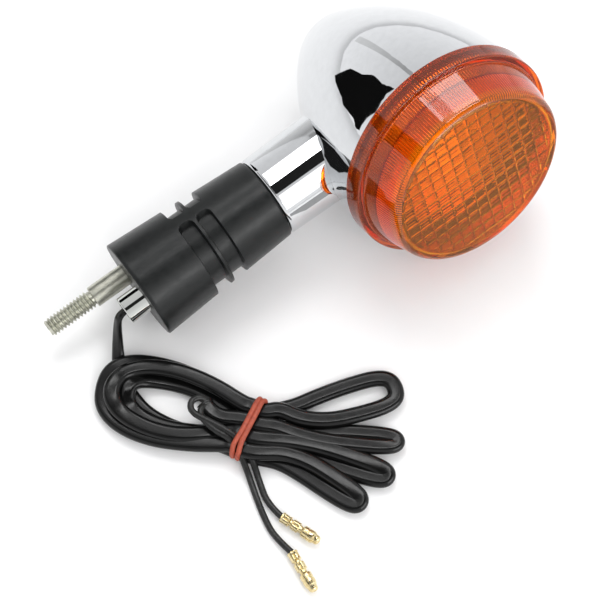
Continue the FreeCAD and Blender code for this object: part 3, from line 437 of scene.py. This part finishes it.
def heights(start, middle, end, bump_at=None, bump_height=0.0, count=12):
    """Heights that ease from start through middle to end, with an optional hump."""
    out = []
    for i in range(count):
        t = i / (count - 1)
        ease = (1 - t) ** 2 * start + 2 * t * (1 - t) * middle + t * t * end
        if bump_at is not None:
            ease += bump_height * math.exp(-((i - bump_at) / 1.3) ** 2)
        out.append(max(ease, LOWEST))
    return out


def hank_route():
    """The sleeve's whole line: drop, then four folds and three loops, ending beside the band."""
    route = DROP + ENTRY
    route += through_band(3, LOW, 1)
    route += leaf(RIGHT_SHAPE, -70.5, 42, -2.4, heights(LOW, 1.6, HIGH), (3, 3))
    route += through_band(3, HIGH, -1)
    route += leaf(LEFT_SHAPE, 128, 49, 12.8, heights(4.6, 0.8, LOW, 6.5, 3.6), (3, 0), -1.5, flip=True)
    route += through_band(0, LOW, 1)
    route += leaf(RIGHT_SHAPE, -18.4, 49, 5.6, heights(LOW, 1.6, HIGH), (0, 0))
    route += through_band(0, HIGH, -1)
    route += leaf(LEFT_SHAPE, 128, 45.5, 10.8, heights(5.6, 5.2, 4.6, 5.5, 2.6), (0, 2), -2.0)
    route += through_band(2, LOW, 1)
    route += leaf(RIGHT_SHAPE, -55.2, 46, -2.35, heights(LOW, 1.6, HIGH), (2, 2))
    route += through_band(2, HIGH, -1)
    route += leaf(LEFT_SHAPE, 128, 41, 8.0, heights(4.6, 0.8, LOW, 5.5, 3.6), (2, 1), -1.5, flip=True)
    route += through_band(1, LOW, 1)
    route += leaf(RIGHT_SHAPE, -40.4, 46.9, 2.35, heights(LOW, 1.6, HIGH), (1, 1))
    route += through_band(1, HIGH, -1)
    route += [(-58.0, -41.5, 5.6), (-57.6, -36.5, 6.6)]
    return route


def line_length(path):
    """The length of a line of points, in their own unit."""
    return sum((b - a).length for a, b in zip(path, path[1:]))


def make_sleeve():
    """The flat lead from the guide tube to its cut end. Its line is returned with it."""
    path = spline_points(hank_route())
    piece = swept("lead_sleeve", path, sleeve_section(), "sleeve_vinyl", "mount", DROP_SIDE, DROP_SLIM)
    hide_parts("lead_drop", "lead_hank")
    print("sleeve length", round(line_length(path), 4))
    return piece, path


WIRE_RADIUS = 1.05


def make_tail(name, points):
    """One insulated wire as a round NURBS curve."""
    curve = bpy.data.curves.new(name, "CURVE")
    curve.dimensions = "3D"
    curve.resolution_u = 10
    curve.bevel_depth = WIRE_RADIUS * MM
    curve.bevel_resolution = 6
    curve.use_fill_caps = True
    spline = curve.splines.new("NURBS")
    spline.points.add(len(points) - 1)
    for point, place in zip(spline.points, points):
        point.co = (*[c * MM for c in place], 1)
    spline.order_u = 3
    spline.use_endpoint_u = True
    piece = bpy.data.objects.new(name, curve)
    bpy.context.collection.objects.link(piece)
    curve.materials.append(LOOKS["wire_vinyl"])
    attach(piece, "mount")
    print(name, "length", round(line_length(spline_points(points)), 4))
    return piece


POWER_TAIL = [(-57.9, -37.5, 6.6), (-59.4, -37.0, 8.0), (-61.6, -40.0, 8.2), (-60.8, -45.5, 8.0),
              (-58.6, -50.0, 7.6), (-57.5, -53.5, 5.5), (-58.5, -60, 2.1), (-61, -68, 1.05),
              (-63.5, -77, 1.05), (-64.5, -84, 1.4), (-63.2, -91, 1.95)]
GROUND_TAIL = [(-57.2, -37.5, 6.6), (-56.6, -35.0, 8.2), (-61.2, -33.8, 9.1), (-63.4, -37.4, 9.0),
               (-59.8, -43.8, 8.5), (-56.6, -50.5, 8.0), (-55, -56, 5.5), (-56, -61, 2.1),
               (-58, -67, 1.05), (-60, -74, 1.4), (-59, -80, 1.95)]


# ---------------------------------------------------------------- band and terminals
BAND_HALF = 10.1
BAND_TOP = 9.1
BAND_BOTTOM = 0.85
STRAND_SIDE, STRAND_HALF = 0.85, (0.86, 0.8)
BAND_CORNERS = 0.55


def squared(value):
    """A sine or cosine pushed outwards, so that a circle becomes a rounded box."""
    return math.copysign(abs(value) ** BAND_CORNERS, value)


def make_band():
    """Two round rubber strands side by side around the tied lead."""
    count, ring = 72, 12
    points, faces = [], []
    for strand, offset in enumerate((-STRAND_SIDE, STRAND_SIDE)):
        base = strand * count * ring
        for i in range(count):
            angle = 2 * math.pi * i / count
            across = BAND_HALF * squared(math.cos(angle))
            up = (BAND_TOP + BAND_BOTTOM) / 2 + (BAND_TOP - BAND_BOTTOM) / 2 * squared(math.sin(angle))
            sway = 0.22 * math.sin(2 * angle + strand * 2.1) + 0.12 * math.sin(5 * angle + strand)
            centre = BAND_CENTRE + BAND_ALONG * across + THROUGH * (offset + sway) + Vector((0, 0, up))
            outward = BAND_ALONG * math.cos(angle) + Vector((0, 0, math.sin(angle)))
            for j in range(ring):
                turn = 2 * math.pi * j / ring
                points.append(centre + THROUGH * (STRAND_HALF[0] * math.cos(turn))
                              + outward * (STRAND_HALF[1] * math.sin(turn)))
        for row, column in ((i, j) for i in range(count) for j in range(ring)):
            here, there = base + row * ring, base + (row + 1) % count * ring
            after = (column + 1) % ring
            faces.append((here + column, here + after, there + after, there + column))
    piece = add_mesh("rubber_band", points, faces, TABLE, "band_rubber", "mount", 60, join=False)
    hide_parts("hank_tie")


def heading_frame(start, heading):
    """A frame at `start` with X along `heading` and Z as near up as it goes."""
    x = Vector(heading).normalized()
    y = Vector((0, 0, 1)).cross(x).normalized()
    z = x.cross(y)
    turn = Matrix((x, y, z)).transposed().to_4x4()
    return Matrix.Translation(Vector(start) * MM) @ turn


BULLET_LINE = [
    (0, 1.1), (0, 1.62), (0.25, 1.66), (0.5, 1.5), (2.5, 1.45), (2.8, 1.62), (3.0, 1.55), (3.2, 1.2),
    (3.7, 1.15), (3.9, 1.5), (4.2, 1.6), (5.9, 1.55), (6.3, 1.6), (6.5, 1.3), (7.3, 1.15), (7.7, 1.3),
    (7.9, 1.8), (8.1, 1.93), (9.4, 1.95), (9.5, 1.83), (9.9, 1.83), (10.0, 1.95), (11.4, 1.95),
    (11.9, 1.78), (12.4, 1.48), (12.9, 1.5), (13.4, 1.4), (13.8, 1.05), (14.0, 0.5), (14.0, 0),
]


def make_bullet(name, node, start, heading):
    """A brass bullet terminal: two pinched crimps with a seam, a waist, and a grooved nose."""
    segments = 40
    points = rings([(0.05, 0)] + BULLET_LINE, segments)
    angles = np.arange(segments) * 2 * math.pi / segments
    oval, seam_depth, seam_width = 0.10, 0.28, 0.22
    seam = np.exp(-((angles - math.pi / 2) / seam_width) ** 2)
    for ring in points:
        x = ring[0, 0]
        pinch = 1.0 if 0.1 < x < 3.0 or 3.9 < x < 6.4 else 0.0
        shape = 1 + pinch * (oval * np.cos(2 * angles) - seam_depth * seam)
        ring[:, 1:] *= shape[:, None]
    frame_of = heading_frame(start, heading)
    faces = grid_faces(len(points), segments)
    piece = add_mesh(name, points, faces, frame_of, "terminal_brass", "mount", 50)
    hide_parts(node)
    return piece


def make_sleeve_mouth(path):
    """The cut end of the sleeve: a thin lip that the two wires come out of, in shares of its half size."""
    end, before = path[-1], path[-3]
    ahead = (end - before).normalized()
    frame_of = heading_frame(end / MM, ahead)
    segments = 40
    outline = [(-0.9, 1.0), (-0.9, 1.035), (0.25, 1.06), (0.45, 0.98), (0.35, 0.8), (-0.3, 0.74), (-0.3, 0)]
    points = rings([(-0.9, 0)] + outline, segments)
    points[:, :, 1] *= SLEEVE_HALF[0]
    points[:, :, 2] *= SLEEVE_HALF[1]
    faces = grid_faces(len(points), segments)
    return add_mesh("sleeve_mouth", points, faces, frame_of, "sleeve_vinyl", "mount", 40)


# ---------------------------------------------------------------- rubber mount and its steel
MOUNT_LENGTH = 51.0
FLEX_START, FLEX_END = 20.5, 32.3
SKIN_AT, SKIN_RADIUS = (0, FLEX_START, FLEX_END, MOUNT_LENGTH), (17.25, 16.02, 15.32, 14.2)
POCKETS = ((FLEX_START, 25.8), (27.2, FLEX_END))
POCKET_FLOOR = 13.2
POCKET_ROUND = 1.9
POCKET_GIRTH, WEB_HALF = 14.5, 2.0
EASE = 0.4


def smoothstep(values):
    """0 to 1 with level ends."""
    values = np.clip(values, 0, 1)
    return values * values * (3 - 2 * values)


def make_rubber_mount():
    """One skin over foot, neck and collar, with four half-ring pockets pressed into it."""
    segments = 360
    stations = [np.linspace(0.5, 20.0, 22)]
    for low, high in POCKETS:
        stations.append(np.linspace(low - EASE, low + EASE, 10))
        stations.append(np.linspace(low + EASE + 0.3, high - EASE - 0.3, 7))
        stations.append(np.linspace(high - EASE, high + EASE, 10))
    stations.append(np.linspace(33.2, 50.4, 20))
    along = np.unique(np.concatenate(stations))
    outer = np.interp(along, SKIN_AT, SKIN_RADIUS)
    outline = [(0, 0), (0, 4), (0, 8), (0, 12), (0, 16.4), (0.06, 16.8), (0.2, 17.05)]
    outline += list(zip(along, outer))
    outline += [(50.75, 14.1), (50.9, 13.9), (50.9, 11), (50.9, 0)]
    points = rings(outline, segments)
    angles = np.arange(segments) * 2 * math.pi / segments
    x = points[:, :, 0]
    radius = np.hypot(points[:, :, 1], points[:, :, 2])
    beside = np.abs(np.cos(angles))[None, :] * POCKET_GIRTH - WEB_HALF
    depth = np.zeros_like(x)
    for low, high in POCKETS:
        lengthwise = np.abs(x - (low + high) / 2) - (high - low) / 2 + POCKET_ROUND
        crosswise = POCKET_ROUND - beside
        outside = np.hypot(np.maximum(lengthwise, 0), np.maximum(crosswise, 0))
        edge = outside + np.minimum(np.maximum(lengthwise, crosswise), 0) - POCKET_ROUND
        depth = np.maximum(depth, smoothstep(0.5 - edge / EASE))
    target = radius - np.maximum(radius - POCKET_FLOOR, 0) * depth
    scale = np.where(radius > 1e-6, target / np.maximum(radius, 1e-6), 1)
    points[:, :, 1] *= scale
    points[:, :, 2] *= scale
    faces = grid_faces(len(outline), segments)
    piece = add_mesh("rubber_mount", points, faces, LAMP, "black_rubber", None, 40)
    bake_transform(piece)
    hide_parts("damper_foot", "damper_neck", "damper_collar")


def round_section(radius, count=14):
    """The outline of a round cord."""
    turns = [2 * math.pi * i / count for i in range(count)]
    return [(radius * math.cos(t), radius * math.sin(t)) for t in turns]


def make_lead_core():
    """The sleeve inside the mount and the stem."""
    line = ((-7.5, -4, 0), (20, -4, 0), (41, -4, 0), (53, 0, 0), (67, 0, 0))
    route = [LAMP @ (Vector(p) * MM) / MM for p in line]
    piece = swept("lead_core_sleeve", spline_points(route), round_section(2.15), "sleeve_vinyl", None,
                  Vector((0, 1, 0)))
    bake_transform(piece)
    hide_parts("lead_core")


PITCH = 1.27
STUD_TIP, THREAD_END, SHOULDER_END = -30.2, -12.7, 6.0
MAJOR, MINOR, SHOULDER = 3.175, 2.42, 3.6
FLANK, ROOT = 1.45, 0.22
RUN_OUT = 0.5
TIP_RADIUS, TIP_SLOPE = 2.35, 0.9


def make_stud():
    """Quarter-inch 20-thread stud with a real helical thread and a plain shoulder."""
    segments = 48
    along = np.arange(STUD_TIP, THREAD_END, PITCH / 12)
    points = rings([(STUD_TIP, 0), (STUD_TIP, 1.4)] + [(x, 1) for x in along], segments)
    turn = np.arange(segments) / segments
    for ring, x in zip(points[2:], along):
        phase = (x / PITCH - turn) % 1
        crest = np.clip((1 - np.abs(2 * phase - 1)) * FLANK - ROOT, 0, 1)
        fade = np.clip((THREAD_END - RUN_OUT - x) / RUN_OUT, 0, 1)
        radius = MINOR + (MAJOR - MINOR) * crest * fade
        radius = np.minimum(radius, TIP_RADIUS + (x - STUD_TIP) * TIP_SLOPE)
        ring[:, 1:] *= radius[:, None]
    shoulder = soften([(THREAD_END, MINOR, 0), (THREAD_END, SHOULDER, 0.35), (SHOULDER_END, SHOULDER, 0),
                       (SHOULDER_END, 0, 0)])
    points = np.concatenate([points, rings(shoulder, segments)])
    faces = grid_faces(len(points), segments)
    piece = add_mesh("threaded_stud", points, faces, STUD, "zinc_steel", "mount", 50)
    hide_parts("mounting_stud")


TUBE_BORE, TUBE_RADIUS = 3.3, 4.65
TUBE_MOUTH, TUBE_ROOT = -7.5, 9


def make_guide_tube():
    """The plated tube that the lead leaves by, with a rounded mouth."""
    outline = soften([(TUBE_ROOT, TUBE_BORE, 0), (TUBE_MOUTH, TUBE_BORE, 0.45),
                      (TUBE_MOUTH, TUBE_RADIUS, 0.5), (TUBE_ROOT, TUBE_RADIUS, 0),
                      (TUBE_ROOT, TUBE_BORE, 0)])
    piece = turned("wire_tube", outline, GUIDE, "tube_chrome", "mount", 72, loop=True)
    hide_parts("wire_guide_tube")


# ---------------------------------------------------------------- lens
FLUTES = 208
FLUTE_DEPTH = 0.34
LENS_SEGMENTS = FLUTES * 5
CELL = 4.15
CELL_START = (3.3, -2.6)
PILLOW_RISE, PILLOW_TILT = 0.38, 0.05
PILLOW_RIM, PILLOW_FADE = 28.4, 1.2
RIDGE_RISE, RIDGE_PITCH = 0.022, 1.45
FACE_FRONT, FACE_BOW, FACE_RADIUS = -46, 0.85, 29.3
EDGE_CENTRE, EDGE_RADIUS = (-42.75, 29.15), 2.4
INNER_FACE, INNER_RADIUS = -42.8, 28.6
WALL_START, WALL_END, WALL_SPREAD = 29.0, 31.2, 19.9


def lens_outline():
    """The lens section as (x, radius), once round: outside first, then the inside."""
    outside = soften([(-25.2, 33.2, 0), (-25.2, 36.9, 0.35), (-25.8, 36.87, 0), (-30.6, 36.64, 0),
                      (-31.4, 36.6, 0.6), (-31.4, 34.4, 0.5), (-32.1, 34.23, 0), (-43.25, 31.54, 0),
                      (-43.4, 31.5, 0)])
    edge = []
    for step in range(1, 8):
        turn = math.radians(14 + step * 9.2)
        edge.append((EDGE_CENTRE[0] - EDGE_RADIUS * math.sin(turn),
                     EDGE_CENTRE[1] + EDGE_RADIUS * math.cos(turn)))
    dome = [(FACE_FRONT + FACE_BOW * (r / FACE_RADIUS) ** 2, r) for r in np.linspace(FACE_RADIUS, 0, 24)]
    return outside, edge, dome


def lens_inside():
    """Face and wall of the inside, before the flutes and the prisms."""
    face = [(INNER_FACE, r) for r in np.linspace(0, INNER_RADIUS, 116)]
    wall = [(x, WALL_START + (INNER_FACE - x) * (WALL_START - WALL_END) / WALL_SPREAD)
            for x in np.linspace(-42.3, -23.1, 12)]
    return face, wall


def make_lens():
    """Amber lens: smooth outside, fine flutes down the inner wall, pillow prisms behind the face."""
    outside, edge, dome = lens_outline()
    face, wall = lens_inside()
    outer = outside + edge + dome
    outline = outer + face + wall + [(-22.9, 31.3), (-22.9, 33.1), (-23.1, 33.2)]
    points = rings(outline, LENS_SEGMENTS)
    angles = np.arange(LENS_SEGMENTS) * 2 * math.pi / LENS_SEGMENTS
    first, after = len(outer), len(outer) + len(face)
    inner = points[first:after]
    y, z = inner[:, :, 1], inner[:, :, 2]
    across, up = (-y - CELL_START[0]) / CELL, (z - CELL_START[1]) / CELL
    column, row = np.round(across), np.round(up)
    u, v = (across - column) * 2, (up - row) * 2
    # Each cell leans a little its own way, by an uneven but repeatable amount.
    tilt = np.sin(column * 12.9898 + row * 78.233) * PILLOW_TILT
    lean = np.sin(column * 39.346 + row * 11.135) * PILLOW_TILT
    rim = smoothstep((PILLOW_RIM - np.hypot(y, z)) / PILLOW_FADE)
    pillow = (1 - np.abs(u) ** 6) * (1 - np.abs(v) ** 6)
    ridges = RIDGE_RISE * np.cos(z * 2 * math.pi / RIDGE_PITCH)
    inner[:, :, 0] += ((PILLOW_RISE + tilt * u + lean * v) * pillow + ridges) * rim
    ripple = 0.5 + 0.5 * np.cos(angles * FLUTES)
    for ring in points[after:after + len(wall)]:
        scale = 1 + FLUTE_DEPTH * ripple / np.hypot(ring[0, 1], ring[0, 2])
        ring[:, 1:] *= scale[:, None]
    faces = grid_faces(len(outline), LENS_SEGMENTS, loop=True)
    piece = add_mesh("amber_lens", points, faces, LENS, "lens_amber", "lens_part", 30)
    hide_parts("lens")


def make_painted_shade_lip():
    """A dark ring inside the lens wall: painted shade that shows through the lower cells of the face as a
    dark band.
    """
    outline = [(-22.7, 29.9), (-22.7, 30.7), (-33.0, 29.55), (-33.0, 29.15)]
    # Painted shade: a dark ring put inside the lens to darken the lower cells of the face.
    turned("painted_shade_lip", outline, LENS, "gasket_rubber", "head", 144, loop=True)


# ---------------------------------------------------------------- what moves behind the bulb
def make_spring():
    """The contact spring as a true helix."""
    turns, steps = 4.5, 20
    start, height, radius = 21.7, 7.5, 5.6
    points = []
    for step in range(int(turns * steps) + 1):
        angle = 2 * math.pi * step / steps
        along = start + height * step / (turns * steps)
        place = Vector((along, radius * math.cos(angle), radius * math.sin(angle)))
        points.append(LENS @ (place * MM))
    piece = swept("coil_spring", points, round_section(0.4, 10), "plated_steel", None, Vector((0, 0, 1)))
    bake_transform(piece)
    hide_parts("contact_spring")


def make_power_wire():
    """The wire from the contact, out through the socket's bottom and round to the stem."""
    route = ((22.7, 0, 0), (27, 0, 0), (32, 0, 0), (37, 3, -0.5), (36, 10, -2), (29, 15, -3),
             (18, 18, -4), (8, 22, -3), (2, 29, -1.05), (0, 37.4, -1.05))
    points = [LENS @ (Vector(p) * MM) / MM for p in route]
    piece = swept("contact_wire", spline_points(points), round_section(WIRE_RADIUS), "wire_vinyl", None,
                  Vector((0, 0, 1)))
    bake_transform(piece)
    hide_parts("power_wire")


# ---------------------------------------------------------------- camera, floor and light
def camera():
    """The view of the picture: high over the left end of the stem."""
    data = bpy.data.cameras.new("camera")
    data.lens = 96.5
    data.sensor_width = 36
    data.clip_start = 0.01
    data.clip_end = 20
    eye = bpy.data.objects.new("camera", data)
    eye.location = Vector((-151.0, -207.8, 478.5)) * MM
    eye.rotation_euler = [math.radians(angle) for angle in (25.97, -0.52, -36.21)]
    bpy.context.collection.objects.link(eye)
    bpy.context.scene.camera = eye
    bpy.context.scene.view_settings.view_transform = "Standard"


def glow(name, strength):
    """A surface that gives off an even white light."""
    material = bpy.data.materials.new(name)
    material.use_nodes = True
    nodes = material.node_tree.nodes
    nodes.remove(nodes["Principled BSDF"])
    light = nodes.new("ShaderNodeEmission")
    light.inputs["Strength"].default_value = strength
    material.node_tree.links.new(light.outputs[0], nodes["Material Output"].inputs["Surface"])
    return material


def stage_card(name, corners, glows):
    """A flat card that only mirrors see, from corners in millimetres.

    `glows` is a strength, or (share of the height, strength) pairs from the bottom up.
    """
    graded = hasattr(glows, "__len__")
    material = glow(name + "_glow", 1.0 if graded else glows)
    if graded:
        nodes, links = material.node_tree.nodes, material.node_tree.links
        place = nodes.new("ShaderNodeTexCoord")
        split = nodes.new("ShaderNodeSeparateXYZ")
        links.new(place.outputs["Generated"], split.inputs[0])
        links.new(ramp(material, split.outputs["Z"], glows), nodes["Emission"].inputs["Color"])
    mesh = bpy.data.meshes.new(name)
    mesh.from_pydata([Vector(c) * MM for c in corners], [], [tuple(range(len(corners)))])
    mesh.materials.append(material)
    card = bpy.data.objects.new(name, mesh)
    bpy.context.collection.objects.link(card)
    card.visible_camera = False
    card.visible_diffuse = False
    card.visible_shadow = False
    return card


CEILING = 690


def ceiling(name, x, y, strength):
    """A level card overhead that spans x and y."""
    corners = [(x[0], y[0], CEILING), (x[1], y[0], CEILING), (x[1], y[1], CEILING), (x[0], y[1], CEILING)]
    stage_card(name, corners, strength)


def upright(name, x, y, z, strength):
    """A standing card across the view, in the plane y, that spans x and z."""
    corners = [(x[0], y, z[0]), (x[1], y, z[0]), (x[1], y, z[1]), (x[0], y, z[1])]
    stage_card(name, corners, strength)


FLOOR_HALF = 2500


def floor():
    """The pale table top."""
    mesh = bpy.data.meshes.new("floor")
    half = FLOOR_HALF * MM
    mesh.from_pydata([(-half, -half, 0), (half, -half, 0), (half, half, 0), (-half, half, 0)], [],
                     [(0, 1, 2, 3)])
    material = new_material("pale_floor", (0.86, 0.86, 0.86), 0.6)
    varied(material, (0.845, 0.845, 0.845), (0.875, 0.875, 0.875), 30, (0.55, 0.7))
    mesh.materials.append(material)
    plane = bpy.data.objects.new("floor", mesh)
    bpy.context.collection.objects.link(plane)


SKY = 0.9
SKY_LEVELS = ((0.0, 1.3), (0.2, 1.2), (0.55, 1.0), (1.0, 0.9))


def world():
    """An even white tent, a little brighter below than above."""
    sky = bpy.data.worlds.new("tent")
    bpy.context.scene.world = sky
    sky.use_nodes = True
    nodes, links = sky.node_tree.nodes, sky.node_tree.links
    place = nodes.new("ShaderNodeTexCoord")
    split = nodes.new("ShaderNodeSeparateXYZ")
    links.new(place.outputs["Generated"], split.inputs[0])
    shade = ramp(sky, split.outputs["Z"], [(at, (level, level, level * 1.01)) for at, level in SKY_LEVELS])
    links.new(shade, nodes["Background"].inputs["Color"])
    nodes["Background"].inputs["Strength"].default_value = SKY


def softbox(name, place, towards, size, power):
    """A large soft light that mirrors don't show."""
    data = bpy.data.lights.new(name, "AREA")
    data.shape = "RECTANGLE"
    data.size, data.size_y = size[0] * MM, size[1] * MM
    data.energy = power
    light = bpy.data.objects.new(name, data)
    light.location = Vector(place) * MM
    aim = (Vector(towards) - Vector(place)).to_track_quat("-Z", "Y")
    light.rotation_mode = "QUATERNION"
    light.rotation_quaternion = aim
    light.visible_glossy = False
    bpy.context.collection.objects.link(light)


def stage():
    """Floor, sky and two soft lights, and the cards that the chrome, the lens and the rubber mirror."""
    floor()
    world()
    softbox("back_softbox", (190, 360, 690), (10, -10, 20), (420, 420), 2.5)
    softbox("front_softbox", (-60, -480, 520), (0, 0, 20), (520, 420), 1.9)
    stage_card("black_card", [
        (-35, 215, 35), (-15, 215, 80), (-20, 215, 115), (-10, 215, 150), (-25, 215, 175),
        (-20, 215, 215), (-75, 215, 195), (-130, 215, 160), (-205, 215, 70), (-190, 215, 55),
        (-155, 215, 65), (-110, 215, 45), (-90, 215, 50), (-50, 215, 35)], 0.006)
    stage_card("grey_wall", [(195, 1500, 60), (310, 1500, 60), (240, 1500, 2300), (135, 1500, 2300)], [
        (0.0, 0.9), (0.13, 0.78), (0.27, 0.64), (0.41, 0.46), (0.5, 0.48), (0.57, 0.62), (0.63, 0.6),
        (0.7, 0.4), (1.0, 0.36)])
    stage_card("left_dark", [
        (-500, -420, 360), (-500, 60, 335), (-500, 260, 310), (-500, 470, 250), (-500, 730, 400),
        (-500, 270, 620), (-500, -100, 740), (-500, -420, 560)], 0.02)
    front_floor = stage_card("front_floor", [
        (15, -62, 0.6), (15, -230, 0.6), (170, -230, 0.6), (170, -62, 0.6)], 0.5)
    front_floor.visible_transmission = False
    ceiling("drum_light", (-70, 570), (270, 400), 7.5)
    ceiling("stem_light", (-20, 120), (30, 430), 1.8)
    ceiling("overhead_light", (-30, 480), (-62, 30), 9.0)
    ceiling("overhead_dark", (-420, 560), (-410, -62), 0.02)
    upright("front_light", (-60, 470), -600, (110, 800), 1.8)
    upright("front_bright", (-60, 470), -598, (260, 440), 7.0)


# ---------------------------------------------------------------- put together
def finish_looks():
    """Give each CAD node the material of its slot in the record."""
    slots = {row["node"]: row["material_slot"] for row in frame["record"]["subparts"]}
    for name, piece in frame["nodes"].items():
        if name not in slots:
            continue
        piece.data.materials.clear()
        piece.data.materials.append(LOOKS[slots[name]])


camera()
stage()
finish_looks()
sleeve, sleeve_path = make_sleeve()
mouth = make_sleeve_mouth(sleeve_path)
power_tail = make_tail("power_wire_tail", POWER_TAIL)
ground_tail = make_tail("ground_wire_tail", GROUND_TAIL)
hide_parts("power_tail")
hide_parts("ground_tail")
power_end = make_bullet("power_terminal", "power_bullet", POWER_TAIL[-1], (-1.5, -14.4, 0))
ground_end = make_bullet("ground_terminal_end", "ground_bullet", GROUND_TAIL[-1], (4.5, -12.8, 0))
make_band()
make_rubber_mount()
make_lead_core()
make_stud()
make_guide_tube()
make_lens()
make_painted_shade_lip()
make_spring()
make_power_wire()
